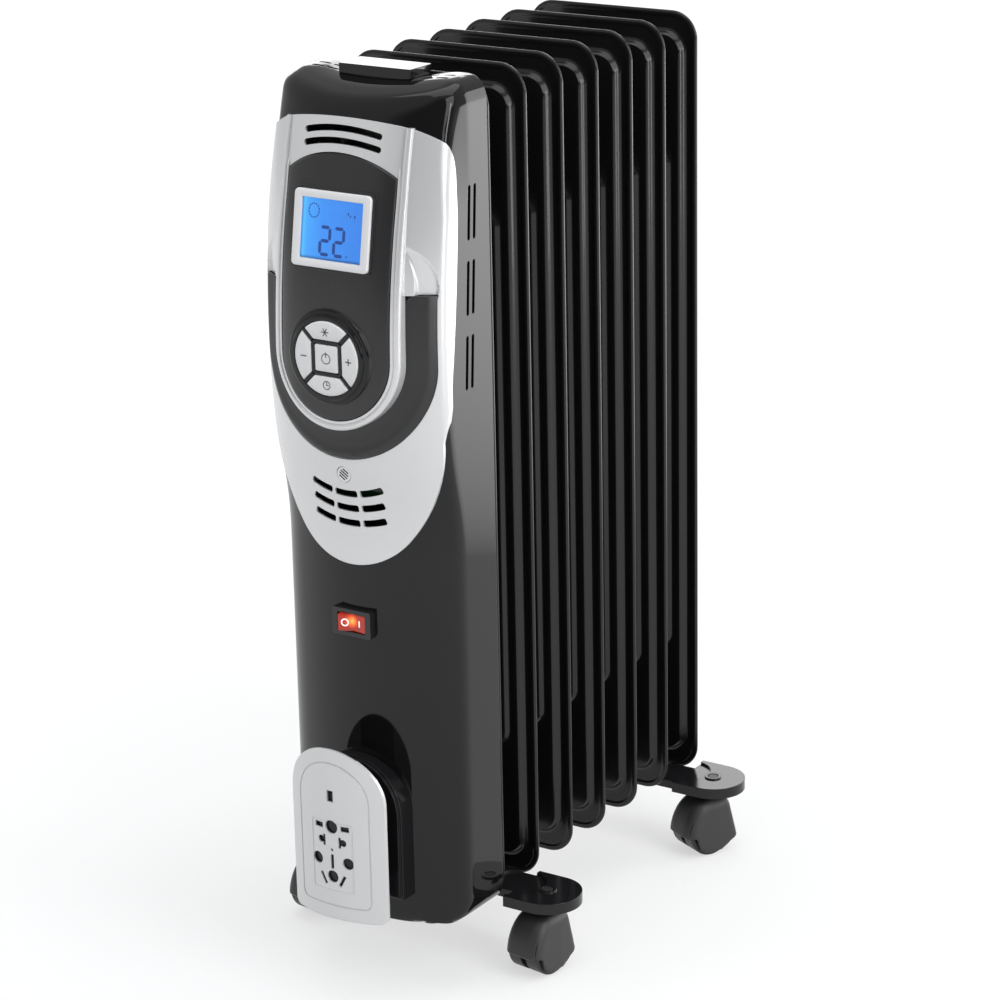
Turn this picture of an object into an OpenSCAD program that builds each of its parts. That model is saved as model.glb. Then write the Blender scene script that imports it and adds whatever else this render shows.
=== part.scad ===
// Seven-fin oil filled radiator heater: pressed steel fins on two headers, a moulded
// control housing with a bowed silver fascia and raised key panel, a cord-wrap spool
// and four swivelling twin-wheel castors on two clamped brackets.
// Millimetres, +Z up, floor at z = 0, front towards -Y, mirror plane at x = 0.

/* [Radiator] */
// Width of a fin
fin_w = 140; // [132:2:150]
// Height of a fin
fin_h = 580; // [560:5:600]
// Corner radius of a fin
fin_r = 20; // [16:1:24]
// Distance from one fin to the next
fin_pitch = 45; // [44:0.5:48]
// Height of the fins' lower edge above the floor
fin_lift = 49; // [48:0.5:52]
// Sheet thickness of each fin half
sheet_t = 0.8; // [0.6:0.1:1]
// Thickness of the folded rim
rim_t = 3.2; // [2.6:0.2:3.8]
// Width of the folded rim
rim_w = 4; // [3:0.5:5]
// Height of the outer pressing
press_a = 5; // [4:0.5:6]
// Extra height of the inner oil channel
press_b = 3; // [2:0.5:4]
// Outer radius of the header bosses
header_r = 21; // [19:0.5:22]

/* [Housing] */
// Depth of the housing at its middle, below the belly
house_d = 67; // [62:1:70]
// Plan radius of the bowed front
front_r = 127; // [122:1:135]
// How far the belly stands forward of the straight lower front
belly = 11; // [8:1:13]
// Wall thickness of the mouldings
wall = 2.5; // [2:0.25:3]
// Height of the housing above the fins
house_over = 2; // [1:0.5:4]
// Depth of the dish between the top shoulders
dish = 5; // [3:0.5:6]
// Thickness of the silver fascia
fascia_t = 1.6; // [1.2:0.2:2]

/* [Control panel] */
// Half width of the dark panel
panel_hw = 42.7; // [41:0.5:43.5]
// Width of the silver band round the panel
band_w = 6.8; // [5.5:0.25:7.5]
// Length of the display bezel
bezel_w = 60; // [56:1:62]
// Height of the display bezel
bezel_h = 50; // [46:1:52]
// Radius of the ring of keys
key_r = 25; // [23.5:0.25:25.5]
// Side of the square centre key
key_sq = 18; // [16:0.5:19]
// Key travel
key_travel = 1; // [0.6:0.1:1.1]

/* [Switch and cord wrap] */
// Width of the rocker switch frame
switch_w = 31; // [29:0.5:34]
// Half width of the cord-wrap plate
plate_hw = 38; // [36:0.5:40]
// Height of the cord-wrap plate
plate_h = 124; // [118:1:128]
// Gap left for the cord between pedestal and plate
wrap_gap = 18; // [15:0.5:20]

/* [Castors] */
// Radius of a castor wheel
wheel_r = 18.5; // [17.5:0.25:19]
// Overall width of a castor hood
hood_w = 30; // [29:0.5:32]
// Radius of the castor stem
stem_r = 4; // [3.5:0.25:4.5]
// Distance of a castor's stem from the mirror plane
lobe_x = 94; // [92:0.5:98]
// Turn of the right rear castor
rear_turn = 26; // [0:1:40]

/* [Hidden] */
$fn = 96;
fine = 480;                  // facets of the large radii

// Radiator
fins = 7;
fin_1_y = -(fins - 1) / 2 * fin_pitch;
fin_top = fin_lift + fin_h;
fin_mid = fin_lift + fin_h / 2;
face_out = sheet_t + press_a;         // outer face of the pressing, from the seam
crown_out = face_out + press_b;       // outer face of the oil channel
inset_a = 9;                 // outer pressing in from the fin edge
inset_b = 18.5;              // oil channel in from the fin edge
end_a = 14;
end_b = 98;
slope_w = 3;
press_r = 16;
channel_r = 12;
header_in = 46;              // header centre in from the fin ends
header_lo = fin_lift + header_in;
header_hi = fin_top - header_in;
plug_out = 13;               // bottom header boss of the first fin, forward of the fin
filler_r = 11;
filler_out = 12;
cap_r = 12;
cap_h = 5;
cap_seat = rim_t / 2 + press_a + press_b + filler_out - cap_h;
thread_wall = 3;             // wall round the screwed openings

// Housing
seat_gap = 0.4;              // housing to first fin
house_rear = fin_1_y - rim_t / 2 - seat_gap;
house_w = fin_w;
house_top = fin_top + house_over;
house_low = 50;
front_y = house_rear - house_d;
axis_y = front_y + front_r;
key_z = house_top - 177.5;
belly_z = key_z + 3.5;
belly_r = 660;
blend_r = 300;
corner_cut = 2.2;            // how far the vertical corners are taken off
corner_axis = house_rear + 7;
shoulder_r = 16;
dish_hw = 50;
grip_w = 57;
grip_d = 25;
grip_r = 1.6;
grip_out = 3;                // grip block above the housing's shoulders
grip_wall = 2;
grip_y = house_rear - 0.4 - grip_d / 2;
foot_r = 14;
slope_r = 26;
slope_z = house_top - 33;
slope_a = 65;
belly_c = front_y - belly + belly_r;
slope_y = belly_c - sqrt(pow(belly_r - slope_r, 2) - pow(slope_z - belly_z, 2));
lay = 0.1;                   // clearance between stacked mouldings
reach = 60;                  // cutting tools run this far past the mouldings
slot_w = 2.2;
slot_h = 36;
slot_step = 49.5;

// Panel
pod_r = 150;
pod_y = front_y - 18;
pod_z = key_z - 13.5;
pod_arc = 564;
panel_top = house_top - 60;
panel_rise = 14;
panel_arc = (panel_hw * panel_hw + panel_rise * panel_rise) / (2 * panel_rise);
fit = 0.3;
bezel_z = house_top - 94.7;
bezel_y = front_y - 13.4;
seat_w = 2.4;                // seat moulded round the bezel
bezel_tilt = -9;
bezel_t = 3.2;
glass_w = bezel_w - 12;
glass_h = bezel_h - 11;
board_y = front_y + 9;
board_t = 1.6;

// Keys
key_face = pod_y - 4;
key_t = 3.8;
key_gap = 0.5;
rib_w = 2.2;
well_floor = key_face + key_t + key_travel + 0.4;
stem_key_r = 2.5;
stem_hole_r = 3;
tact_out = 2.1;              // tact switch above the board
stem_end = board_y - board_t - tact_out - key_travel - 0.4;

// Fascia outline
shield_arc = 126;
shield_top = house_top - 18.5;
shield_side = 110;
shield_toe = 56;
shield_wide = key_z - 56.5;
shield_hw = house_w / 2 - 2;
toe_z = shield_wide - 34;
wrap_arc = 1130;
wrap_y = front_y + 29.7;
wrap_z = house_top - 31;
wrap_corner = 12;
pocket_r = house_w / 2 - 2.5;
pocket_z = key_z - 3.5;
pocket_top = key_z + 43.5;
ridge_h = 3.4;
scoop_deep = 0.9;            // horn-shaped hollow above each end of the insert
scoop_z = pocket_top + 5;
scoop_r = 28.5;              // outer edge of the horn
horn_r = 42.7;               // inner edge of the horn

// Switch
switch_z = key_z - 187.5;
switch_h = 19;
switch_lip = 1.5;
switch_body = 0.2;           // clearance of the switch in its opening
switch_out = 4.5;
rocker_w = 21;
rocker_h = 12;
rocker_pin_r = 1.5;
rocker_rest = 8;

// Cord wrap
plate_low = 62;
plate_arc = 80;
plate_t = 2.4;
plate_front = front_y - 36;
ped_hw = plate_hw + 0.3;
ped_low = 73;
ped_front = front_y - 10;
neck_hw = 24;
neck_low = 86;

// Castors and brackets
gap_y = -fin_1_y - fin_pitch / 2;
lobe_y = gap_y + 4;
lobe_r = 24;
plate_z = 56;
skirt = 8;
bar_w = 30;
deck_t = 3;
ring_r = stem_r + 2.2;       // raised ring round each stem hole
dish_ring = 20.5;            // shallow dish of the deck round the fin's corner
run = 0.05;                  // radial clearance of running fits
stem_clear = 0.05;
trail = 10;
hood_top = 44;
hood_nose = 21.5;
hood_tail = 13.5;            // rear edge of the hood behind its stem
cheek_t = 2;
web_t = 2;                   // half of the web between the two wheels
well_gap = 1.2;              // hood to tread
wheel_gap = 0.4;             // wheel to web and to cheek
tread_t = 3.5;
hole_ring = 10;              // lightening holes from the axle
axle_r = 3;
u_rod = 2.5;
u_r = header_r + u_rod + 0.1;

y_shift = -(plate_front - fin_1_y + cap_seat + cap_h) / 2;

// ---- shared forms ----
module xz(y0, y1) translate([0, y1, 0]) rotate([90, 0, 0]) linear_extrude(y1 - y0) children();
module yz(x0, x1) translate([x0, 0, 0]) rotate([90, 0, 90]) linear_extrude(x1 - x0) children();
module row() translate([0, y_shift, 0]) children();
module both() { children(); mirror([1, 0, 0]) children(); }

module rr(w, h, r) {
  square([w - 2 * r, h], center = true);
  square([w, h - 2 * r], center = true);
  for (sx = [-1, 1], sy = [-1, 1]) translate([sx * (w / 2 - r), sy * (h / 2 - r)]) circle(r);
}

// Round-cornered raised block with sloping sides, rising along -Y from y = 0
module pressing(w, h, r, d, s) rotate([90, 0, 0]) {
  translate([0, h / 2 - r, 0]) rotate([90, 0, 0]) linear_extrude(h - 2 * r)
    polygon([[-w / 2, 0], [w / 2, 0], [w / 2 - s, d], [s - w / 2, d]]);
  translate([r - w / 2, 0, 0]) rotate([90, 0, 90]) linear_extrude(w - 2 * r)
    polygon([[-h / 2, 0], [h / 2, 0], [h / 2 - s, d], [s - h / 2, d]]);
  for (sx = [-1, 1], sy = [-1, 1]) translate([sx * (w / 2 - r), sy * (h / 2 - r), 0])
    cylinder(h = d, r1 = r, r2 = r - s);
}

// Half section of a surface that is straight below and bellied above, grown by g
module bow(r, lift, arc, z, g) {
  span = arc + blend_r;
  dz = sqrt(span * span - pow(span - lift, 2));
  z0 = z - dz;
  z1 = z - dz * (arc + g) / span;
  square([r + g, z1]);
  intersection() {
    translate([r + lift - arc, z]) circle(arc + g, $fn = 3 * fine);
    translate([0, z1]) square([r + lift + g, house_top - z1 + 10]);
  }
  difference() {
    translate([0, z0]) square([r + lift + g, z1 - z0]);
    translate([r + blend_r, z0]) circle(blend_r - g, $fn = 2 * fine);
  }
}

// Outer form of the housing grown by g: bowed front, soft corners, sloped brow
module front_form(g) {
  corner_r = corner_len(front_r);
  intersection() {
    translate([0, axis_y, 0]) rotate_extrude($fn = fine)
      bow(front_r, belly, belly_r, belly_z, g);
    translate([0, corner_axis, 0]) rotate_extrude($fn = fine)
      bow(corner_r - corner_cut, belly * 0.76, belly_r * 1.36, belly_z, g);
    xz(front_y - reach, house_rear + (g < 0 ? 1 : 0)) outline(g);
    yz(-house_w, house_w) brow(g);
  }
}
function corner_len(r) =
  let (yy = sqrt(r * r - house_w * house_w / 4) - (axis_y - corner_axis))
  sqrt(yy * yy + house_w * house_w / 4);

module outline(g) {
  hw = house_w / 2 + g;
  hi = house_top + g;
  lo = house_low - g;
  difference() {
    union() {
      translate([-hw, lo + foot_r + g]) square([2 * hw, hi - lo - shoulder_r - foot_r - 2 * g]);
      translate([-hw + shoulder_r + g, lo]) square([2 * (hw - shoulder_r - g), hi - lo]);
      both() translate([hw - shoulder_r - g, hi - shoulder_r - g]) circle(shoulder_r + g);
      both() translate([hw - foot_r - g, lo + foot_r + g]) circle(foot_r + g);
      translate([-hw + foot_r + g, lo]) square([2 * (hw - foot_r - g), foot_r * 2]);
    }
    translate([0, house_top - dish + dish_r()]) circle(dish_r() - g, $fn = fine);
  }
}

module brow(g) {
  tip_y = slope_y - slope_r * cos(slope_a);
  tip_z = slope_z + slope_r * sin(slope_a);
  touch_z = belly_z + (slope_z - belly_z) * (belly_r + g) / (belly_r - slope_r);
  run_y = 60;
  union() {
    translate([slope_y - slope_r - g - 25, 0]) square([180, touch_z]);
    translate([slope_y, slope_z]) circle(slope_r + g);
    polygon([[slope_y, slope_z],
      [tip_y - g * cos(slope_a), tip_z + g * sin(slope_a)],
      [tip_y - g * cos(slope_a) + run_y * sin(slope_a),
       tip_z + g * sin(slope_a) + run_y * cos(slope_a)],
      [slope_y + run_y * sin(slope_a) + 60, slope_z]]);
  }
}

module pod(g) translate([0, pod_y + pod_r, 0]) rotate_extrude($fn = fine) intersection() {
  translate([pod_r - pod_arc, pod_z]) circle(pod_arc + g, $fn = 3 * fine);
  translate([0, 200]) square([pod_r + g, house_top - 200]);
}

// Outline of the panel, grown by g: round foot, straight sides, arched top
module panel_2d(g) {
  translate([0, key_z]) circle(panel_hw + g);
  translate([-panel_hw - g, key_z]) square([2 * (panel_hw + g), panel_top - key_z]);
  intersection() {
    translate([0, panel_top + panel_rise - panel_arc]) circle(panel_arc + g);
    translate([-panel_hw - g, panel_top - 1]) square([2 * (panel_hw + g), 40]);
  }
}

module shield_2d(g) intersection() {
  union() {
    intersection() {
      both() intersection() {
        translate([shield_hw - shield_side, shield_wide]) circle(shield_side + g, $fn = fine);
        translate([0, toe_join()]) square([shield_hw + 20, shield_wide - toe_join()]);
      }
      translate([-100, toe_join()]) square([200, 200]);
    }
    intersection() {
      translate([0, toe_z]) circle(shield_toe + g, $fn = fine);
      translate([-60, 0]) square([120, toe_join()]);
    }
    translate([-house_w / 2 - 10, shield_wide]) square([house_w + 20, 300]);
  }
  union() {
    translate([0, shield_top - shield_arc]) circle(shield_arc + g, $fn = fine);
    translate([-shield_arc, 0]) square([2 * shield_arc, shield_top - shield_arc]);
  }
}
function toe_join() = let (d = shield_side - shield_toe)
  shield_wide - shield_side * (shield_wide - toe_z) / d;

module wrap_2d(g) {
  intersection() {
    translate([wrap_y - wrap_arc, wrap_z]) circle(wrap_arc + g, $fn = 4 * fine);
    translate([-400, 0]) square([400, shield_top - 18 - wrap_corner - 10]);
  }
  translate([wrap_y - wrap_corner, shield_top - 28 - wrap_corner]) circle(wrap_corner + g);
  translate([-400, 0]) square([400 + wrap_y - wrap_corner, 700]);
}

module pocket_2d(g) {
  intersection() {
    translate([0, pocket_z]) circle(pocket_r + g, $fn = fine);
    translate([-100, 0]) square([200, pocket_z]);
  }
  translate([-pocket_r - g, pocket_z]) square([2 * (pocket_r + g), pocket_top - pocket_z + g]);
}

// U band round the panel, whose limbs run on upwards as the two ridges
module band_2d() difference() {
  union() {
    translate([0, key_z]) circle(panel_hw + band_w, $fn = fine);
    translate([-panel_hw - band_w, key_z]) square([2 * (panel_hw + band_w), house_top - key_z]);
  }
  translate([-panel_hw - fit, panel_top - 5]) square([2 * (panel_hw + fit), house_top - panel_top]);
}

module scoop_2d() both() intersection() {
  translate([pocket_r - scoop_r + 0.5, scoop_z]) circle(scoop_r);
  difference() {
    translate([panel_hw + band_w, pocket_top]) square([40, 40]);
    translate([pocket_r - horn_r - 12, scoop_z]) circle(horn_r);
  }
}

module arc_slot(r, z, hw, h) {
  s = r > 0 ? 1 : -1;
  q = abs(r);
  intersection() {
    difference() {
      translate([0, z]) circle(q + h / 2);
      translate([0, z]) circle(q - h / 2);
    }
    translate([-hw, s > 0 ? z : z - q - h]) square([2 * hw, q + h]);
  }
  for (m = [-1, 1]) translate([m * hw, z + s * sqrt(q * q - hw * hw)]) circle(h / 2);
}

// ---- radiator ----
module half_fin() {
  w = fin_w - 2 * inset_a;
  pressing(w, fin_h - 2 * end_a, press_r, sheet_t + press_a, slope_w);
  translate([0, -press_a, 0]) pressing(fin_w - 2 * inset_b, fin_h - 2 * end_b, channel_r,
    sheet_t + press_b, slope_w);
}

module half_oil() {
  w = fin_w - 2 * inset_a - 2 * sheet_t;
  pressing(w, fin_h - 2 * end_a - 2 * sheet_t, press_r - sheet_t, press_a, slope_w);
  translate([0, -press_a + 0.01, 0]) pressing(fin_w - 2 * inset_b - 2 * sheet_t,
    fin_h - 2 * end_b - 2 * sheet_t, channel_r - sheet_t, press_b, slope_w);
}

module boss(z, from, to, r) translate([0, to, z]) rotate([90, 0, 0]) cylinder(h = to - from, r = r);

module fin(i) {
  y = fin_1_y + i * fin_pitch;
  first = i == 0;
  last = i == fins - 1;
  row() translate([0, y, 0]) difference() {
    union() {
      translate([0, 0, fin_mid]) {
        xz(-sheet_t, sheet_t) rr(fin_w, fin_h, fin_r);
        xz(-rim_t / 2, rim_t / 2) difference() {
          rr(fin_w, fin_h, fin_r);
          rr(fin_w - 2 * rim_w, fin_h - 2 * rim_w, fin_r - rim_w);
        }
        half_fin();
        mirror([0, 1, 0]) half_fin();
      }
      if (first) boss(header_lo, -plug_out, 0, header_r);
      if (last) boss(header_hi, 0, cap_seat, filler_r);
    }
    translate([0, 0, fin_mid]) { half_oil(); mirror([0, 1, 0]) half_oil(); }
    for (z = [header_lo, header_hi]) {
      if (!first) boss(z, -crown_out, 1, header_r - sheet_t);
      if (!last) boss(z, -1, crown_out, header_r - sheet_t);
    }
    if (first) boss(header_lo, -plug_out - 1, 1, header_r - thread_wall);
    if (last) boss(header_hi, -1, cap_seat + 1, filler_r - thread_wall);
  }
}

// Short rings that join the fins' oil spaces at the two headers
module header_rings() color("#141415") row() for (i = [0:fins - 2], z = [header_lo, header_hi])
  translate([0, fin_1_y + i * fin_pitch, 0]) difference() {
    boss(z, face_out, fin_pitch - face_out, header_r);
    boss(z, 0, fin_pitch, header_r - sheet_t);
  }

// Hexagon prism along -Y with the given width across flats
module hex(across, h) rotate([90, 0, 0]) intersection_for(a = [0, 60, 120])
  rotate(a) translate([-across / 2, -across, 0]) cube([across, 2 * across, h]);

module filler_cap() color("#202020") row() translate([0, -fin_1_y, header_hi]) difference() {
  union() {
    boss(0, cap_seat + 0.05, cap_seat + cap_h, cap_r);
    boss(0, cap_seat - 9, cap_seat + 1, filler_r - thread_wall - run);
  }
  translate([0, cap_seat + cap_h + 1, 0]) hex(8, 4);
}

flange_y = fin_1_y - plug_out;
loop_r = 8.5;                // half the spacing of the element's two legs
tube_r = 4;
pin_r = 1.6;
tail = 16;                   // element leg ahead of the flange
module heating_element() color("#8a8078") row() {
  end_y = -fin_1_y - 30;
  wide = loop_r + tube_r + 1;
  both() boss_at(loop_r, header_lo, flange_y - tail, end_y, tube_r);
  translate([0, end_y, header_lo]) intersection() {
    rotate_extrude() translate([loop_r, 0]) circle(tube_r);
    translate([-wide, 0, -wide]) cube([2 * wide, wide, 2 * wide]);
  }
  both() boss_at(loop_r, header_lo, flange_y - tail - 8, flange_y - tail + 1, pin_r);
}

module element_flange() color("#b08d3e") row() difference() {
  union() {
    boss(header_lo, flange_y - 2, flange_y + 11, header_r - thread_wall - run);
    boss(header_lo, flange_y - 4, flange_y - 1.6, header_r + 2);
    translate([0, flange_y - 4, header_lo]) hex(34, 8);
  }
  both() boss_at(loop_r, header_lo, flange_y - 40, flange_y + 20, tube_r + run);
}

module element_gasket() color("#a33c2c") row() difference() {
  boss(header_lo, flange_y - 1.5, flange_y - 0.1, header_r + 0.5);
  boss(header_lo, flange_y - 3, flange_y + 2, header_r - thread_wall);
}

module thermal_cutout() color("#c8c2b0") row() translate([0, flange_y - 12.2, header_lo]) {
  rotate([90, 0, 0]) cylinder(h = 1.2, r = 4);
  translate([-4, -7.2, 5.5]) cube([8, 7.2, 14]);
  translate([-3, -1.2, 3]) cube([6, 1.2, 4]);
  for (x = [-3, 1]) translate([x, -9.2, 15]) cube([2, 3, 0.8]);
}

shield_y = fin_1_y - crown_out - 8;
shield_rib = 2;              // stiffening beads of the heat shield
shield_bead_x = house_w / 2 - 30;
module heat_shield() color("#b9bcbe") row() difference() {
  union() {
    translate([0, 0, (house_low + house_top) / 2])
      xz(shield_y - sheet_t, shield_y) rr(house_w - 16, house_top - house_low - 44, 8);
    for (x = [-1, 1], dz = [-190, 0, 190]) translate([x * shield_bead_x, 0, fin_mid + 10 + dz])
      xz(shield_y - sheet_t - shield_rib, shield_y - sheet_t) rr(14, 90, 6);
  }
  boss(header_lo, shield_y - 10, shield_y + 10, header_r + 4);
  both() for (z = screw_zs()) boss_at(screw_x, z, shield_y - 5, shield_y + 5, screw_r + 0.7);
  // convection slots
  for (k = [0:5]) translate([0, 0, fin_mid - 99 + 18 * k])
    xz(shield_y - 5, shield_y + 5) rr(60, 5, 2);
}
screw_x = house_w / 2 - 14;
screw_r = 1.5;
function screw_zs() = [house_low + 50, house_top - 55];

// ---- housing ----
module front_housing() color("#1c1c1e") row() {
  difference() {
    union() {
      difference() {
        front_form(0);
        front_form(-wall);
      }
      // inner stiffening ribs that stop short of the heat shield
      intersection() {
        front_form(-wall + 0.5);
        union() {
          for (z = [switch_z - 61, switch_z + 39]) translate([-house_w / 2, shield_y - 46, z])
            cube([house_w, 30, rib_t]);
          both() for (z = screw_zs())
            boss_at(screw_x, z, shield_y - 41, shield_y - sheet_t - lay, screw_r + 3);
          translate([-rib_t / 2, shield_y - 60, house_low]) cube([rib_t, 42, 18]);
        }
      }
    }
    // panel window, switch and spool openings
    xz(front_y - reach, front_y + 25) panel_2d(fit + 0.1);
    translate([0, 0, switch_z]) xz(front_y - 20, front_y + 20)
      rr(switch_w - 2 * switch_lip, switch_h - 2 * switch_lip, 1.5);
    translate([0, 0, neck_low + 6]) xz(front_y - 5, front_y + 20) arch_2d(neck_hw - 8, 50);
    both() for (z = screw_zs()) boss_at(screw_x, z, shield_y - 21, shield_y + 5, screw_r + lay);
    side_slots();
    top_slots();
    // air inlets behind the fascia slots
    xz(front_y - reach, front_y + 25) fascia_slots(0.6);
    translate([gland_x, gland_y, house_low - 1]) cylinder(h = wall + 2, r = gland_r);
    // convection inlets in the floor
    for (k = [-4:4], y = [house_rear - 28, house_rear - 13])
      translate([k * 12.5 - 3, y, house_low - 2]) cube([6, 8, 8]);
  }
}
rib_t = 1.8;
function dish_r() = (dish_hw * dish_hw + dish * dish) / (2 * dish);
gland_x = 40;
gland_y = front_y + 24;
gland_r = 6.5;
gland_out = 3;               // flange of the cord gland below the housing floor
gland_in = 13;               // sleeve of the cord gland above the floor
cord_bore = 3.6;             // takes a 6.8 mm round cord

module side_slots() both() for (g = [0:2], s = [0, 1])
  translate([house_w / 2, house_rear - 17 - s * 6.4 - g * 3, house_top - 86.5 - g * slot_step])
  rotate([-3.5, 0, 0]) yz(-6, 6) rr(slot_w, slot_h, slot_w / 2 - 0.01);

module top_slots() both() for (k = [0, 1], j = [0, 1])
  translate([house_w / 2 - 33 + k * 12, house_rear - 11 - j * 8, house_top - 14]) linear_extrude(20)
  rr(9.5, 2.6, 1.2);

module fascia_slots(g) {
  c = shield_top - shield_arc;
  arc_slot(shield_arc - 12, c, 29, 4.2 + g);
  arc_slot(shield_arc - 20, c, 29, 4.2 + g);
  lower_slots(g);
}

module lower_slots(g) for (k = [0:2]) intersection() {
  arc_slot(-(72.5 + 10.5 * k), key_z - 23.5, 26.4, 4.8 + g);
  for (c = [-1, 0, 1]) translate([c * 20 - 8.9 - g / 2, 0]) square([17.8 + g, 600]);
}

module arch_2d(hw, h) {
  translate([-hw, 0]) square([2 * hw, h]);
  translate([0, h]) circle(hw);
}

// Grip block: its foot follows the dished top, its underside is cored out
module carry_handle() color("#26262a") row() difference() {
  grip(0);
  difference() {
    grip(grip_wall);
    for (x = [-1, 0, 1]) translate([x * grip_w / 4 - grip_wall / 2, house_rear - 60, house_top - 20])
      cube([grip_wall, 60, 30]);
  }
}

module grip(g) intersection() {
  translate([0, grip_y, house_top - 20]) linear_extrude(20 + grip_out - g)
    rr(grip_w - 2 * g, grip_d - 2 * g, grip_r - g / 2);
  xz(grip_y - grip_d, grip_y + grip_d) translate([0, house_top - dish + dish_r()])
    circle(dish_r() - lay + g, $fn = fine);
}

// ---- fascia and panel ----
module fascia() color("#d7d8da") row() difference() {
  intersection() {
    union() {
      difference() {
        front_form(fascia_t);
        xz(front_y - reach, front_y + reach) pocket_2d(0.2);
        difference() {
          xz(front_y - reach, front_y + reach) scoop_2d();
          front_form(fascia_t - scoop_deep);
        }
      }
      // proud band round the panel
      intersection() {
        union() { pod(0.8); front_form(ridge_h); }
        xz(front_y - reach, front_y + 30) band_2d();
      }
    }
    xz(front_y - reach, house_rear - 5) shield_2d(0);
    yz(-house_w, house_w) wrap_2d(0);
  }
  xz(front_y - reach, front_y + reach) {
    panel_2d(fit);
    fascia_slots(0);
    translate([0, chime_z]) circle(chime_r + 0.2);
  }
  front_form(lay);
}
chime_r = 5.5;
chime_z = key_z - 82.5;      // round grille over the chime

module pocket_insert() color("#3b3b3e") row() intersection() {
  difference() { front_form(fascia_t + 0.8); front_form(lay); }
  xz(front_y - reach, front_y + reach) difference() {
    pocket_2d(0);
    translate([0, key_z]) circle(panel_hw + band_w + 0.2);
    translate([-panel_hw - band_w - 0.2, key_z])
      square([2 * (panel_hw + band_w + 0.2), 100]);
  }
}

module bezel_frame(w, h, r, t, y0) translate([0, bezel_y, bezel_z]) rotate([bezel_tilt, 0, 0])
  xz(y0, y0 + t) rr(w, h, r);

module control_panel() color("#47474a") row() {
  difference() {
    union() {
      difference() {
        intersection() { pod(0); xz(front_y - reach, front_y + 7) panel_2d(0); }
        intersection() {
          pod(-wall);
          xz(front_y - reach, front_y + 8) panel_2d(-2);
        }
      }
      // two-step ring round the keys, and a seat for the bezel
      boss(key_z, pod_y - 1.2, pod_y + 3.8, key_r + 6.4);
      boss(key_z, pod_y - 3.2, pod_y + 3.8, key_r + 3.2);
      bezel_frame(bezel_w + 2 * seat_w, bezel_h + 2 * seat_w, 4, 7, 0);
    }
    difference() {
      boss(key_z, key_face - 10, well_floor, key_r + key_gap);
      ribs();
    }
    for (p = key_points()) boss_at(p[0], key_z + p[1], well_floor - 5, well_floor + 10, stem_hole_r);
    bezel_frame(bezel_w + 0.4, bezel_h + 0.4, 2.2, 40, -20);
  }
}
function key_points() = [[0, 17.5], [-17.5, 0], [0, 0], [17.5, 0], [0, -17.5]];
module boss_at(x, z, from, to, r) translate([x, 0, 0]) boss(z, from, to, r);

// raised ribs that part the keys
module ribs() intersection() {
  boss(key_z, key_face + 0.8, well_floor + 1, key_r + 1);
  union() {
    translate([0, 0, key_z]) xz(key_face + 0.8, well_floor + 1) difference() {
      square(key_sq + 2 * key_gap + 2 * rib_w, center = true);
      square(key_sq + 2 * key_gap, center = true);
    }
    for (a = [45, 135, 225, 315]) translate([0, 0, key_z]) xz(key_face + 0.8, well_floor + 1)
      rotate(a) translate([key_sq * 0.707, -rib_w / 2]) square([key_r, rib_w]);
  }
}

module key_2d(k) {
  lip = rib_w + 2 * key_gap;
  if (k == 2) square(key_sq, center = true);
  else intersection() {
    circle(key_r);
    difference() {
      rotate([0, 90, 0, -90, 180][k]) polygon([[-60, 60 + lip * 0.707], [0, lip * 0.707],
        [60, 60 + lip * 0.707]]);
      square(key_sq + 2 * lip, center = true);
    }
  }
}

module key(k) {
  p = key_points()[k];
  row() difference() {
    union() {
      translate([0, 0, key_z]) xz(key_face, key_face + key_t) key_2d(k);
      boss_at(p[0], key_z + p[1], key_face + 1, stem_end, stem_key_r);
    }
    translate([p[0], 0, key_z + p[1]]) xz(key_face - 1, key_face + 0.35) mark_2d(k);
  }
}

module mark_2d(k) {
  if (k == 0) for (a = [0, 60, 120]) rotate(a) square([5.6, 0.8], center = true);
  if (k == 1 || k == 3) square([4.4, 0.9], center = true);
  if (k == 3) square([0.9, 4.4], center = true);
  if (k == 2) { difference() { circle(3.6); circle(2.8); } translate([-0.4, 1]) square([0.8, 4]); }
  if (k == 4) { difference() { circle(2.8); circle(2.1); } square([0.7, 2]); square([1.6, 0.7]); }
}
module key_mode() color("#dcdcde") key(0);
module key_minus() color("#dcdcde") key(1);
module key_power() color("#dcdcde") key(2);
module key_plus() color("#dcdcde") key(3);
module key_timer() color("#dcdcde") key(4);

module lcd_bezel() color("#e9eaec") row() difference() {
  bezel_frame(bezel_w, bezel_h, 2, bezel_t, -1);
  bezel_frame(glass_w, glass_h, 1, bezel_t + 4, -3);
}

module lcd_window() color("#4a9df5") row()
  bezel_frame(glass_w - 0.1, glass_h - 0.1, 0.9, 1.2, 0.3);

module lcd_module() color("#2c5f9e") row()
  bezel_frame(glass_w - 2, glass_h - 2, 0.8, 6.5, 1.6);

module control_board() color("#1f5a35") row() {
  low = key_z - key_r - 8;
  high = panel_top - 6;
  skin = board_y - board_t;
  translate([0, 0, (low + high) / 2]) xz(skin, board_y) rr(2 * panel_hw - 14, high - low, 3);
  // tact switches behind the keys
  for (p = key_points()) {
    translate([p[0] - 3, skin - 1.2, key_z + p[1] - 3]) cube([6, 1.3, 6]);
    boss_at(p[0], key_z + p[1], skin - tact_out, skin - 1, 1.5);
  }
  translate([-12, board_y - 0.1, key_z + 40]) cube([24, 3, 12]);
  translate([14, board_y - 0.1, key_z - 24]) cube([9, 9, 12]);
}

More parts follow.
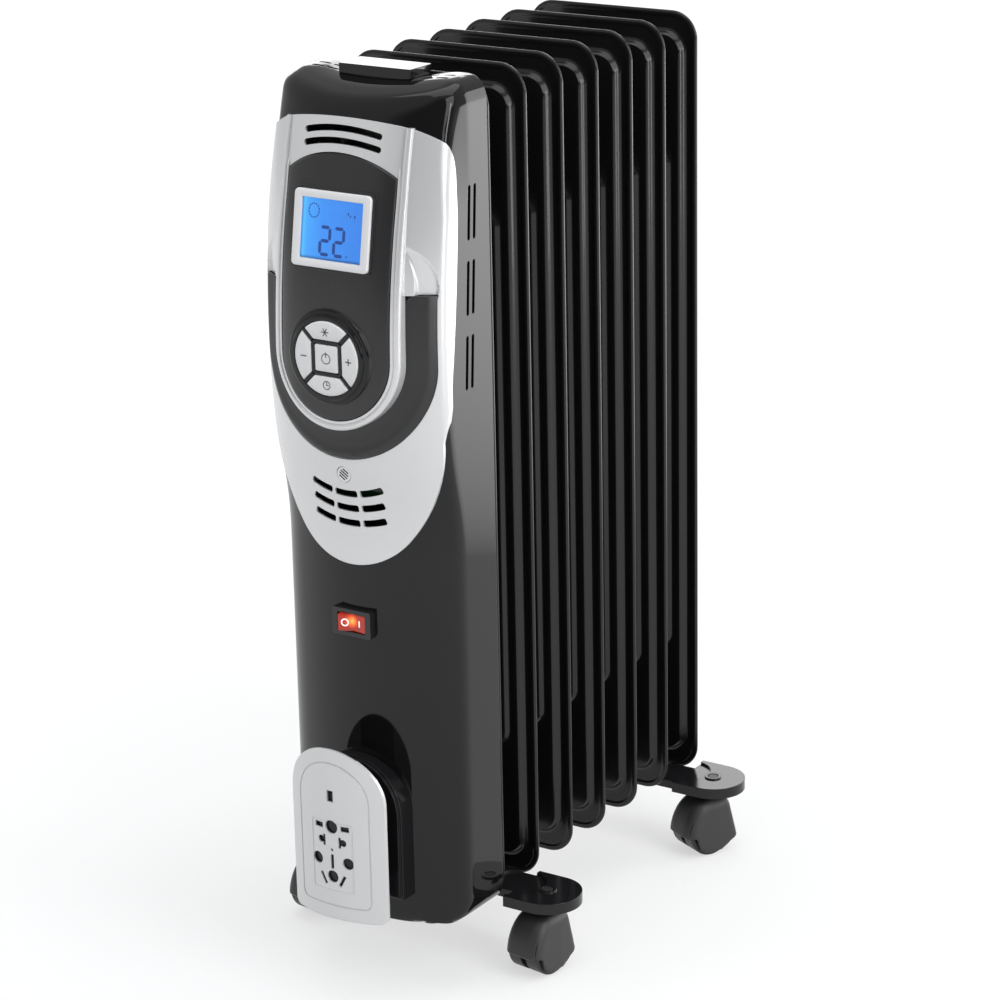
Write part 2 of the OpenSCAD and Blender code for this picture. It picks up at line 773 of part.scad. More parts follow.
module power_board() color("#2a6b3f") row() translate([0, power_back, key_z - 82]) {
  xz(-board_t, 0) rr(power_w, power_h, 3);
  for (x = [-1, 1], z = [-1, 1])
    boss_at(x * (shield_bead_x - 12), z * (power_h / 2 - 7), -0.1, power_out, 2.5);
  // two relays, a choke and a row of terminals
  for (x = [-32, -8]) translate([x, 0.1 - board_t - 16, -22]) cube([16, 16, 22]);
  translate([18, 0.1 - board_t - 20, -26]) cube([22, 20, 30]);
  for (k = [0:7]) translate([10 * k - 36, 0.1 - board_t - 11, 16]) cube([7, 11, 9]);
}
power_w = house_w - 48;
power_h = 74;
power_out = 6.6;             // standoffs of the power board
power_back = shield_y - sheet_t - power_out;

module chime_grille() color("#202022") row() translate([0, 0, chime_z]) intersection() {
  translate([0, 0, -chime_z]) difference() { front_form(fascia_t - 0.2); front_form(lay); }
  xz(front_y - reach, front_y + reach) difference() {
    circle(chime_r);
    for (k = [-1.5:1:1.5]) translate([0, k * 2.2])
      square([2 * sqrt(chime_r * chime_r - k * k * 5) - 2, 1], center = true);
  }
}

// ---- mains rocker ----
rocker_y = front_y + 1.5;
module switch_frame() color("#101011") row() translate([0, 0, switch_z]) difference() {
  union() {
    difference() {
      xz(front_y - switch_out, front_y + 6) rr(switch_w, switch_h, 1.2);
      translate([0, 0, -switch_z]) front_form(lay);
    }
    xz(front_y - switch_out + 1, front_y + 18)
      rr(switch_w - 2 * switch_lip - 2 * switch_body, switch_h - 2 * switch_lip - 2 * switch_body, 1);
  }
  xz(front_y - switch_out - 1, rocker_y + 9) square([rocker_w + 1.6, rocker_h + 1.2], center = true);
  translate([0, rocker_y, -switch_h]) cylinder(h = 2 * switch_h, r = rocker_pin_r + run);
}

module switch_rocker() color("#c4281a") row() translate([0, rocker_y, switch_z])
  rotate([0, 0, rocker_rest]) {
    nose = switch_out + 1.2;
    pin_half = switch_h / 2 - switch_lip - switch_body - 0.3;
    translate([0, 0, -rocker_h / 2]) difference() {
      linear_extrude(rocker_h) polygon([[-rocker_w / 2 + 0.4, -nose - 1.6], [0, -nose + 0.8],
        [rocker_w / 2 - 0.4, -nose - 1.6], [rocker_w / 2 - 0.8, -0.5], [3, 4], [-3, 4],
        [0.8 - rocker_w / 2, -0.5]]);
      translate([-5.6, -nose - 2.4, rocker_h / 2]) rotate([0, 0, 12]) xz(0, 2.4)
        difference() { circle(2.1); circle(1.4); }
      translate([5.6, -nose - 2.4, rocker_h / 2]) rotate([0, 0, -12]) xz(0, 2.4)
        square([0.8, 4.2], center = true);
    }
    translate([0, 0, -pin_half]) cylinder(h = 2 * pin_half, r = rocker_pin_r);
  }

// ---- cord wrap ----
plate_axis = plate_front + plate_arc;
module plate_2d(g) difference() {
  translate([0, plate_low - g]) arch_2d(plate_hw + g, plate_h - plate_hw + g);
  for (m = [-1, 1]) translate([m * (plate_hw + g), plate_low - g]) rotate(m > 0 ? 90 : 0)
    difference() { square([5, 5]); translate([5, 5]) circle(5); }
}

module cord_plate() color("#cfd1d2") row() difference() {
  intersection() {
    translate([0, plate_axis, 0]) difference() {
      cylinder(h = 300, r = plate_arc);
      translate([0, 0, -1]) cylinder(h = 302, r = plate_arc - plate_t);
    }
    xz(plate_front - 2, ped_front) plate_2d(0);
  }
  // fine outline groove and the shallow field of the plug park
  intersection() {
    translate([0, plate_axis, 0]) difference() {
      cylinder(h = 300, r = plate_arc + 1);
      translate([0, 0, -1]) cylinder(h = 302, r = plate_arc - 0.4);
    }
    xz(plate_front - 2, ped_front) {
      difference() { plate_2d(-9.6); plate_2d(-10.4); }
      translate([0, plate_low + 46]) rr(33, 50, 1);
    }
  }
  xz(plate_front - 5, ped_front) plug_holes();
}

module plug_holes() {
  z = plate_low;
  translate([0, z + 90]) square([5, 8.2], center = true);
  translate([0, z + 67.5]) circle(4.9);
  translate([0, z + 31]) circle(4.4);
  translate([0, z + 42]) square([2.4, 10.5], center = true);
  translate([0, z + 50.6]) circle(1);
  both() {
    translate([10.5, z + 67.3]) square([6.6, 3.9], center = true);
    translate([8.9, z + 57]) circle(2.6);
    translate([6.3, z + 56.8]) square([2, 8], center = true);
    translate([12.4, z + 42.4]) circle(4.2);
    translate([7.6, z + 28.7]) rotate(-28) square([2.2, 9], center = true);
  }
}

module cord_spool() color("#151516") row() {
  ped_h = plate_low + plate_h - 14 - ped_low - ped_hw;
  difference() {
    union() {
      // pedestal with a softened front edge
      translate([0, 0, ped_low]) xz(ped_front + 2, front_y + 20) arch_2d(ped_hw, ped_h);
      translate([0, 0, ped_low + 1.5]) xz(ped_front, ped_front + 3) arch_2d(ped_hw - 1.5, ped_h - 1.5);
      translate([0, 0, neck_low]) intersection() {
        xz(plate_front, ped_front + 2) arch_2d(neck_hw, 44);
        translate([0, plate_axis, -20]) cylinder(h = 200, r = plate_arc - plate_t - 0.05);
      }
    }
    difference() {
      translate([0, 0, ped_low + wall]) xz(ped_front + wall, front_y + 30)
        arch_2d(ped_hw - wall, ped_h - wall);
      for (z = [ped_low + 14, ped_low + 84]) boss(z, ped_front, front_y, 4);
    }
    translate([0, 0, neck_low + wall]) xz(plate_front + 9, front_y) arch_2d(neck_hw - wall, 44 - wall);
    front_form(lay);
  }
}

module cord_gland() color("#0f0f10") row()
  translate([gland_x, gland_y, house_low - gland_out]) difference() {
    union() {
      cylinder(h = gland_out - lay, r1 = gland_r + 1.5, r2 = gland_r + 2.5);
      cylinder(h = gland_out + gland_in, r = gland_r - lay);
    }
    translate([0, 0, -1]) cylinder(h = gland_out + gland_in + 2, r = cord_bore);
  }

module housing_screws() color("#8f9194") row() both() for (z = screw_zs())
  translate([screw_x, shield_y + 2.5, z]) rotate([90, 0, 0]) difference() {
    union() { cylinder(h = 2.4, r = screw_r + 2.3); cylinder(h = 16, r = screw_r); }
    translate([-2.4, -0.4, -1]) cube([4.8, 0.8, 2]);
    translate([-0.4, -2.4, -1]) cube([0.8, 4.8, 2]);
  }

// ---- brackets and castors ----
module deck_2d(g) {
  both() translate([lobe_x, lobe_y - gap_y]) circle(lobe_r + g);
  square([2 * lobe_x, bar_w + 2 * g], center = true);
  both() translate([fin_w / 2 + 2 - g, lobe_y - gap_y - lobe_r - g])
    square([lobe_x - fin_w / 2, 2 * (lobe_r + g)]);
}

module bracket() {
  difference() {
    union() {
      translate([0, 0, plate_z - deck_t]) linear_extrude(deck_t) deck_2d(0);
      translate([0, 0, plate_z - skirt]) linear_extrude(skirt) difference() {
        deck_2d(0);
        deck_2d(-deck_t);
      }
      both() translate([lobe_x, lobe_y - gap_y, 0]) {
        translate([0, 0, plate_z - skirt]) cylinder(h = skirt, r = stem_r + 5.5);
        translate([0, 0, plate_z - 0.1]) cylinder(h = 1.1, r = ring_r);
        for (a = [0:60:300]) rotate(a) translate([stem_r, -1, plate_z - skirt + 1])
          cube([lobe_r - stem_r - 1, 2, skirt - 1]);
      }
      for (x = [-15, 15]) translate([x - 2.5, -10, plate_z - 1])
        cube([5, 20, header_lo - header_r - plate_z + 9]);
      for (x = [-1, 1]) translate([x * u_r, 0, plate_z - skirt]) cylinder(h = skirt, r = u_rod + 4);
    }
    translate([0, 60, header_lo]) rotate([90, 0, 0]) cylinder(h = 120, r = header_r + 0.05);
    for (x = [-1, 1]) translate([x * u_r, 0, 0]) cylinder(h = 100, r = u_rod + 0.3);
    both() translate([lobe_x, lobe_y - gap_y, 0]) cylinder(h = 100, r = stem_r + stem_clear);
    both() difference() {
      translate([fin_w / 2 - 1.5, lobe_y - gap_y, plate_z - 1.6]) cylinder(h = 10, r = dish_ring);
      translate([lobe_x, lobe_y - gap_y, plate_z - 5]) cylinder(h = 20, r = ring_r);
    }
  }
}
module front_bracket() color("#161617") row() translate([0, -gap_y, 0]) mirror([0, 1, 0]) bracket();
module rear_bracket() color("#161617") row() translate([0, gap_y, 0]) bracket();

module u_bolt() {
  translate([0, 0, header_lo]) rotate([90, 0, 0]) intersection() {
    rotate_extrude() translate([u_r, 0]) circle(u_rod);
    translate([-50, 0, -10]) cube([100, 50, 20]);
  }
  both() translate([u_r, 0, 30]) cylinder(h = header_lo - 30, r = u_rod);
}
module front_u_bolt() color("#c9cccf") row() translate([0, -gap_y, 0]) u_bolt();
module rear_u_bolt() color("#c9cccf") row() translate([0, gap_y, 0]) u_bolt();

module wing_nuts() both() translate([u_r, 0, plate_z - skirt - 6.1]) difference() {
  union() {
    cylinder(h = 6, r1 = 4.4, r2 = 5.6);
    for (m = [-1, 1]) translate([0, m * 8.6, 0]) rotate([0, 90, 0]) translate([-1, 0, -1.1])
      cylinder(h = 2.2, r = 4.6);
    translate([-1.1, -9, 0]) cube([2.2, 18, 4]);
  }
  translate([0, 0, -10]) cylinder(h = 30, r = u_rod + 0.1);
}
module front_wing_nuts() color("#b9bcbf") row() translate([0, -gap_y, 0]) wing_nuts();
module rear_wing_nuts() color("#b9bcbf") row() translate([0, gap_y, 0]) wing_nuts();

// Hood: nose dome towards -Y, flat cheeks, neck and stem
module hood_side() intersection() {
  union() {
    translate([-trail, hood_top - hood_nose]) circle(hood_nose);
    translate([-trail - 10, 0]) square([trail + hood_tail + 10, hood_top]);
  }
  // lower edge over the wheels, rising to the rear, and the sloping back
  polygon([[-trail - 30, 17], [-trail - 21, 14], [-trail - 9, 2.6], [-trail + 3, 1.8], [1, 4.4],
    [hood_tail, 11], [hood_tail - 7, hood_top - 2], [hood_tail - 9, hood_top + 16],
    [-trail - 30, hood_top + 16]]);
}

module hood() {
  hw = hood_w / 2;
  difference() {
    union() {
      intersection() {
        yz(-hw, hw) hood_side();
        // soft top corners seen from the front
        xz(-80, 80) {
          translate([-hw, 0]) square([2 * hw, hood_top - 9]);
          translate([9 - hw, 0]) square([2 * hw - 18, hood_top + 4]);
          for (m = [-1, 1]) translate([m * (hw - 9), hood_top - 9]) circle(9);
        }
      }
      cylinder(h = plate_z - skirt - 0.4, r = 9);
      cylinder(h = plate_z + 0.8, r = stem_r);
    }
    // wheel wells either side of the web
    for (m = [0, 1]) mirror([m, 0, 0]) {
      translate([web_t, 0, 0]) yz(0, hw - cheek_t - web_t) {
        translate([-trail, wheel_r]) circle(wheel_r + well_gap);
        translate([-trail - wheel_r - well_gap, -10])
          square([2 * (wheel_r + well_gap), wheel_r + 10]);
      }
    }
    translate([-hw - 1, -60, -1]) cube([2 * hw + 2, 60 - trail - wheel_r + 2, 18]);
    translate([-20, -trail, wheel_r]) rotate([0, 90, 0]) cylinder(h = 40, r = axle_r + run);
  }
}

module wheels() {
  hw = hood_w / 2;
  wide = hw - cheek_t - web_t - 2 * wheel_gap;
  axle_half = hw - wheel_gap;
  for (m = [-1, 1]) translate([m * (web_t + wheel_gap + wide / 2), -trail, wheel_r])
    rotate([0, 90, 0]) difference() {
      cylinder(h = wide, r = wheel_r, center = true);
      for (s = [-1, 1]) translate([0, 0, s * wide / 2]) difference() {
        cylinder(h = 3, r = wheel_r - tread_t, center = true);
        cylinder(h = 8, r = axle_r + 3, center = true);
      }
      for (a = [0:60:300]) rotate(a) translate([hole_ring, 0, 0])
        cylinder(h = 2 * wide, r = 2.2, center = true);
    }
  translate([-axle_half, -trail, wheel_r]) rotate([0, 90, 0]) cylinder(h = 2 * axle_half, r = axle_r);
}

turn_fr = -8;
turn_fl = -8;
turn_rr = -rear_turn;
turn_rl = 8;
module at_castor(sx, sy, a) row() translate([sx * lobe_x, sy * lobe_y, 0]) rotate([0, 0, a]) children();
module hood_fr() color("#3a3a3c") at_castor(1, -1, turn_fr) hood();
module hood_fl() color("#3a3a3c") at_castor(-1, -1, turn_fl) hood();
module hood_rr() color("#3a3a3c") at_castor(1, 1, turn_rr) hood();
module hood_rl() color("#3a3a3c") at_castor(-1, 1, turn_rl) hood();
module wheels_fr() color("#2a2a2b") at_castor(1, -1, turn_fr) wheels();
module wheels_fl() color("#2a2a2b") at_castor(-1, -1, turn_fl) wheels();
module wheels_rr() color("#2a2a2b") at_castor(1, 1, turn_rr) wheels();
module wheels_rl() color("#2a2a2b") at_castor(-1, 1, turn_rl) wheels();

module fin_1() color("#141415") fin(0);
module fin_2() color("#141415") fin(1);
module fin_3() color("#141415") fin(2);
module fin_4() color("#141415") fin(3);
module fin_5() color("#141415") fin(4);
module fin_6() color("#141415") fin(5);
module fin_7() color("#141415") fin(6);

fin_1();
fin_2();
fin_3();
fin_4();
fin_5();
fin_6();
fin_7();
header_rings();
filler_cap();
heating_element();
element_flange();
element_gasket();
thermal_cutout();
heat_shield();
front_housing();
carry_handle();
fascia();
pocket_insert();
control_panel();
lcd_bezel();
lcd_window();
lcd_module();
control_board();
power_board();
chime_grille();
switch_frame();
cord_spool();
cord_plate();
cord_gland();
housing_screws();
key_mode();
key_minus();
key_power();
key_plus();
key_timer();
switch_rocker();
front_bracket();
rear_bracket();
front_u_bolt();
rear_u_bolt();
front_wing_nuts();
rear_wing_nuts();
hood_fr();
hood_fl();
hood_rr();
hood_rl();
wheels_fr();
wheels_fl();
wheels_rr();
wheels_rl();
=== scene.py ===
"""Oil filled radiator heater: seven enamelled fins, a gloss black control housing with a
silver fascia, a lit display and keys, a cord-wrap plate and four swivelling castors."""

import math

import bmesh
import bpy
import numpy as np
from mathutils import Matrix, Vector


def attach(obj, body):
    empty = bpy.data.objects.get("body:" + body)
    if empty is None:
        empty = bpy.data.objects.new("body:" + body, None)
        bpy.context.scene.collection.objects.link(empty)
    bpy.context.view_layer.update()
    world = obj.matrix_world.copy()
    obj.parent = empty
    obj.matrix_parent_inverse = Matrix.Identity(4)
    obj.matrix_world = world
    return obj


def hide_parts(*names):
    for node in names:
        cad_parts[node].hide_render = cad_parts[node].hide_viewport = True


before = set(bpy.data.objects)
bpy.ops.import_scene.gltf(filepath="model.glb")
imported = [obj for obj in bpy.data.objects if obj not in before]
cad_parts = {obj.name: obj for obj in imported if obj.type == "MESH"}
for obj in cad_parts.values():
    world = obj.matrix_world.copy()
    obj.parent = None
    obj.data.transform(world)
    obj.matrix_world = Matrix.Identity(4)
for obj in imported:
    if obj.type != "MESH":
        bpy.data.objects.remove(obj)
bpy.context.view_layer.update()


# ---- Camera ---------------------------------------------------------------------------
# A long lens, a little above the heater and to its right. It is aimed at the middle of
# the fins, a little to the left of their axis.
VIEW_TURN = math.radians(33.39)
VIEW_LIFT = math.radians(18.09)
VIEW_ROLL = math.radians(-1.16)
VIEW_DISTANCE = 2.3343
AIM_LEFT = 0.01355
AIM_HEIGHT = 0.2936
FINS_MIDDLE_Y = 0.0417
SENSOR = 36.0
LENS = 117.2

across = Vector((math.cos(VIEW_TURN), math.sin(VIEW_TURN), 0))
towards = Vector((math.sin(VIEW_TURN) * math.cos(VIEW_LIFT),
                  -math.cos(VIEW_TURN) * math.cos(VIEW_LIFT), math.sin(VIEW_LIFT)))
upright = towards.cross(across)
rolled_across = across * math.cos(VIEW_ROLL) + upright * math.sin(VIEW_ROLL)
rolled_upright = upright * math.cos(VIEW_ROLL) - across * math.sin(VIEW_ROLL)
looked_at = Vector((0, FINS_MIDDLE_Y, AIM_HEIGHT)) - AIM_LEFT * across

camera_data = bpy.data.cameras.new("camera")
camera_data.lens = LENS
camera_data.sensor_width = SENSOR
camera = bpy.data.objects.new("camera", camera_data)
camera.matrix_world = Matrix.Translation(looked_at + VIEW_DISTANCE * towards) @ Matrix(
    (rolled_across, rolled_upright, towards)).transposed().to_4x4()
bpy.context.scene.collection.objects.link(camera)
bpy.context.scene.camera = camera


# ---- Studio ---------------------------------------------------------------------------
# A sweep that is white to the eye and a little darker in reflections, with softboxes all
# round. The floor is part lit paper and part glow, so that it keeps a soft shadow.
ROOM_LEVEL = 0.62
LEVEL_IN_GLOSS = 0.62
FLAG_LEVEL = 0.12
FLAG_TURN = math.radians(48)
FLAG_STARTS = math.radians(62)
FLAG_FULL = math.radians(40)
FLOOR_REACH = 6.0
FLOOR_DROP = 0.0003
FLOOR_TONE = 0.42
CARD_NEAR = (0.98, 0.36)
CARD_FAR = (0.10, 0.93)
CARD_TALL = 0.5
CARD_DIM = 0.9
CARD_BRIGHT = 5.4
CARD_BRIGHT_HEIGHT = 0.42


def shader_tree(owner):
    """The node tree of a material or a world, emptied."""
    owner.use_nodes = True
    owner.node_tree.nodes.clear()
    return owner.node_tree


def add_node(tree, kind, sockets, **options):
    """Adds a shader node. Each socket is given a value, or the output that feeds it."""
    node = tree.nodes.new("ShaderNode" + kind)
    for option, value in options.items():
        setattr(node, option, value)
    for socket, value in sockets.items():
        if isinstance(value, bpy.types.NodeSocket):
            tree.links.new(value, node.inputs[socket])
        else:
            node.inputs[socket].default_value = value
    return node


def object_place(tree):
    """The place of each point on its own mesh."""
    return add_node(tree, "TexCoord", {}).outputs["Object"]


def math_node(tree, operation, *values):
    """The result of one sum on values or outputs."""
    return add_node(tree, "Math", dict(enumerate(values)), operation=operation).outputs[0]


def white_to_eye(tree):
    """1 for camera, glossy and transmission rays, 0 for the light that falls on things."""
    rays = add_node(tree, "LightPath", {}).outputs
    seen = math_node(tree, "MAXIMUM", rays["Is Camera Ray"], rays["Is Glossy Ray"])
    return math_node(tree, "MAXIMUM", seen, rays["Is Transmission Ray"])


def stage_sheet(name, material_name, corners):
    """A flat sheet of the studio, and the empty node tree of its material."""
    mesh = bpy.data.meshes.new(name)
    mesh.from_pydata(corners, [], [(0, 1, 2, 3)])
    sheet = bpy.data.objects.new(name, mesh)
    bpy.context.scene.collection.objects.link(sheet)
    material = bpy.data.materials.new(material_name)
    mesh.materials.append(material)
    return sheet, shader_tree(material)


bpy.context.scene.view_settings.view_transform = "Standard"
world = bpy.data.worlds.new("white studio")
bpy.context.scene.world = world
tree = shader_tree(world)
room = add_node(tree, "Background", {"Color": (0.95, 0.97, 1.0, 1), "Strength": ROOM_LEVEL})
# a tall dark flag at the front right, that only glossy surfaces and glass see
towards_flag = add_node(tree, "VectorMath", {
    0: add_node(tree, "TexCoord", {}).outputs["Generated"],
    1: (math.sin(FLAG_TURN), -math.cos(FLAG_TURN), 0)}, operation="DOT_PRODUCT")
flag = add_node(tree, "MapRange", {
    "Value": towards_flag.outputs["Value"], "From Min": math.cos(FLAG_STARTS),
    "From Max": math.cos(FLAG_FULL), "To Min": LEVEL_IN_GLOSS, "To Max": FLAG_LEVEL},
    interpolation_type="SMOOTHSTEP")
sweep_level = add_node(tree, "Mix", {
    "Factor": add_node(tree, "LightPath", {}).outputs["Is Camera Ray"],
    "A": flag.outputs["Result"], "B": 1.0})
sweep = add_node(tree, "Background", {
    "Color": (1, 1, 1, 1), "Strength": sweep_level.outputs["Result"]})
choose = add_node(tree, "MixShader", {
    "Fac": white_to_eye(tree), 1: room.outputs[0], 2: sweep.outputs[0]})
add_node(tree, "OutputWorld", {"Surface": choose.outputs[0]})

_, tree = stage_sheet("floor", "floor paper", [
    (x * FLOOR_REACH, y * FLOOR_REACH, -FLOOR_DROP)
    for x, y in ((-1, -1), (1, -1), (1, 1), (-1, 1))])
lit = add_node(tree, "BsdfDiffuse", {"Color": (FLOOR_TONE, FLOOR_TONE, FLOOR_TONE, 1)})
from_middle = add_node(tree, "VectorMath", {0: object_place(tree)}, operation="LENGTH")
further = add_node(tree, "MapRange", {
    "Value": from_middle.outputs["Value"], "From Min": 0.25, "From Max": 1.5,
    "To Min": 0.57, "To Max": 0.76}, interpolation_type="SMOOTHSTEP")
glow = add_node(tree, "Emission", {
    "Color": (1, 1, 1, 1),
    "Strength": math_node(tree, "MULTIPLY", white_to_eye(tree), further.outputs["Result"])})
both = add_node(tree, "AddShader", {0: lit.outputs[0], 1: glow.outputs[0]})
add_node(tree, "OutputMaterial", {"Surface": both.outputs[0]})

# name, place, height aimed at, width, height, watts, shows in gloss, lights things
for name, place, aim, wide, tall, watts, in_gloss, lights in (
        ("softbox_right", (2.2, -0.5, 1.6), 0.35, 1.4, 1.8, 24, True, True),
        ("softbox_left", (-1.9, -1.6, 1.5), 0.35, 1.4, 1.8, 15, False, True),
        ("softbox_top", (0.2, 0.2, 2.6), 0.3, 2.0, 2.0, 20, True, True),
        ("softbox_back", (-1.7, 2.4, 1.25), 0.4, 2.6, 1.0, 22, True, False),
        ("strip_right", (2.3, -0.35, 0.42), 0.35, 0.22, 1.6, 9, True, True),
        ("softbox_side", (1.75, 2.3, 0.75), 0.35, 1.5, 1.7, 26, True, True)):
    lamp = bpy.data.lights.new(name, "AREA")
    lamp.shape = "RECTANGLE"
    lamp.size, lamp.size_y, lamp.energy = wide, tall, watts
    box = bpy.data.objects.new(name, lamp)
    box.location = place
    turn = (Vector((0, 0, aim)) - Vector(place)).to_track_quat("-Z", "Y")
    box.rotation_euler = turn.to_euler()
    box.visible_camera = False
    box.visible_glossy = in_gloss
    box.visible_diffuse = lights
    bpy.context.scene.collection.objects.link(box)

# a low reflector card at the back right, brighter upwards, that only glossy surfaces see
card, tree = stage_sheet("reflector_card", "card glow", [
    (*CARD_NEAR, 0.0), (*CARD_FAR, 0.0), (*CARD_FAR, CARD_TALL), (*CARD_NEAR, CARD_TALL)])
card.visible_camera = card.visible_diffuse = card.visible_shadow = False
height = add_node(tree, "SeparateXYZ", {0: object_place(tree)}).outputs["Z"]
rising = add_node(tree, "MapRange", {
    "Value": math_node(tree, "SQRT", height), "From Max": math.sqrt(CARD_BRIGHT_HEIGHT),
    "To Min": CARD_DIM, "To Max": CARD_BRIGHT})
glow = add_node(tree, "Emission", {"Strength": rising.outputs["Result"]})
add_node(tree, "OutputMaterial", {"Surface": glow.outputs[0]})


# ---- Fins -----------------------------------------------------------------------------
# Each fin is two pressed steel halves, seam welded round a folded rim and stove enamelled
# gloss black. Short rings near both ends are welded between the fins, so that oil passes.
MM = 0.001
FIN_COUNT = 7
FIN_WIDE = 140.0
FIN_TALL = 580.0
FIN_CORNER = 20.0
FIN_LIFT = 49.0
FIN_PITCH = 45.0
FIRST_FIN_Y = -93.3
RIM_HALF = 1.6
SHEET = 0.8
FACE_OUT = 5.8
CHANNEL_OUT = 8.8
RING_RADIUS = 21.0
RING_INSET = 46.0
# width, height, corner radius and rise of one half, from the oil channel to the rim
FIN_STEPS = np.array([(87, 368, 4, CHANNEL_OUT), (97, 378, 9, CHANNEL_OUT),
                      (103, 384, 12, FACE_OUT), (116, 546, 13, FACE_OUT),
                      (122, 552, 16, SHEET), (131.4, 571.4, 15.7, SHEET),
                      (132.6, 572.6, 16.3, RIM_HALF), (137, 577, 18.5, RIM_HALF)], float)
# the weld where a header ring meets a fin: extra radius, and place from the fin's face
WELD_SWELL = ((2.2, -0.2), (0.9, 0.5), (0.1, 1.8), (0.0, 3.2))

# Fine unevenness of a moulded or painted skin: tone, roughness and a shallow height.
skin = bpy.data.node_groups.new("surface skin", "ShaderNodeTree")
for label, kind, value in (
        ("Tone", "Color", (0.5, 0.5, 0.5, 1)), ("Tone Change", "Float", 0.08),
        ("Roughness", "Float", 0.3), ("Roughness Change", "Float", 0.08),
        ("Grain Size", "Float", 900.0), ("Cloud Size", "Float", 14.0)):
    socket = skin.interface.new_socket(label, in_out="INPUT", socket_type="NodeSocket" + kind)
    socket.default_value = value
for label, kind in (("Color", "Color"), ("Roughness", "Float"), ("Height", "Float")):
    skin.interface.new_socket(label, in_out="OUTPUT", socket_type="NodeSocket" + kind)
skin_in = skin.nodes.new("NodeGroupInput").outputs
skin_out = skin.nodes.new("NodeGroupOutput").inputs
place = object_place(skin)
clouds = add_node(skin, "TexNoise", {
    "Vector": place, "Scale": skin_in["Cloud Size"], "Detail": 5.0})
grain = add_node(skin, "TexNoise", {
    "Vector": place, "Scale": skin_in["Grain Size"], "Detail": 3.0})
centred = math_node(skin, "SUBTRACT", clouds.outputs["Fac"], 0.5)
tone_shift = math_node(skin, "MULTIPLY_ADD", centred, skin_in["Tone Change"], 1.0)
toned = add_node(skin, "VectorMath", {0: skin_in["Tone"], "Scale": tone_shift},
                 operation="SCALE")
rough_shift = math_node(skin, "MULTIPLY_ADD", centred, skin_in["Roughness Change"],
                        skin_in["Roughness"])
skin.links.new(toned.outputs[0], skin_out["Color"])
skin.links.new(rough_shift, skin_out["Roughness"])
skin.links.new(grain.outputs["Fac"], skin_out["Height"])


def finish(name, tone, rough, grain_size=900.0, grain_depth=0.02, cloud_size=14.0,
           tone_change=0.1, rough_change=0.08, edge=0.4, **sockets):
    """A painted or moulded finish: the surface skin feeds a Principled shader. Grain depth
    and the softness of edges are in millimetres."""
    material = bpy.data.materials.new(name)
    tree = shader_tree(material)
    effect = add_node(tree, "Group", {
        "Tone": (*tone, 1), "Tone Change": tone_change, "Roughness": rough,
        "Roughness Change": rough_change, "Grain Size": grain_size,
        "Cloud Size": cloud_size}, node_tree=skin).outputs
    bump = add_node(tree, "Bump", {
        "Strength": 1.0, "Distance": grain_depth * MM, "Height": effect["Height"]})
    if edge:
        soft_edge = add_node(tree, "Bevel", {"Radius": edge * MM}, samples=6)
        tree.links.new(soft_edge.outputs[0], bump.inputs["Normal"])
    shader = add_node(tree, "BsdfPrincipled", {
        "Base Color": effect["Color"], "Roughness": effect["Roughness"],
        "Normal": bump.outputs[0]})
    for label, value in sockets.items():
        shader.inputs[label.replace("_", " ")].default_value = value
    add_node(tree, "OutputMaterial", {"Surface": shader.outputs[0]})
    return material


def dress(material, *names):
    """Gives CAD nodes that keep their own shape their finish."""
    for name in names:
        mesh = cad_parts[name].data
        mesh.materials.clear()
        mesh.materials.append(material)


def rounded_ring(width, height, radius, y, per_corner=12):
    """A rounded rectangle facing the front, in millimetres, with one count for every size."""
    ring = []
    for quarter, (side, end) in enumerate(((1, 1), (-1, 1), (-1, -1), (1, -1))):
        for step in range(per_corner + 1):
            turn = math.radians(90 * (quarter + step / per_corner))
            ring.append((side * (width / 2 - radius) + radius * math.cos(turn), y,
                         end * (height / 2 - radius) + radius * math.sin(turn)))
    return ring


def skin_rings(bm, rings, close_ends=True):
    """Skins rings of equal length, given in millimetres, in their order."""
    rows = [[bm.verts.new((x * MM, y * MM, z * MM)) for x, y, z in ring] for ring in rings]
    count = len(rows[0])
    for row, following in zip(rows, rows[1:]):
        for k in range(count):
            after = (k + 1) % count
            bm.faces.new((row[k], row[after], following[after], following[k]))
    if close_ends:
        bm.faces.new(list(reversed(rows[0])))
        bm.faces.new(rows[-1])


def finished_mesh(bm, name, crease=35):
    """Turns a bmesh into a mesh with outward normals, smooth up to the crease angle."""
    bmesh.ops.recalc_face_normals(bm, faces=bm.faces)
    mesh = bpy.data.meshes.new(name)
    bm.to_mesh(mesh)
    bm.free()
    mesh.shade_smooth()
    mesh.set_sharp_from_angle(angle=math.radians(crease))
    return mesh


def add_piece(name, mesh, material, body, slot, *nodes):
    """Puts a mesh into the scene as a piece that rides on a body and stands for CAD nodes."""
    piece = bpy.data.objects.new(name, mesh)
    bpy.context.scene.collection.objects.link(piece)
    mesh.materials.append(material)
    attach(piece, body)
    if nodes:
        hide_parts(*nodes)
    return piece


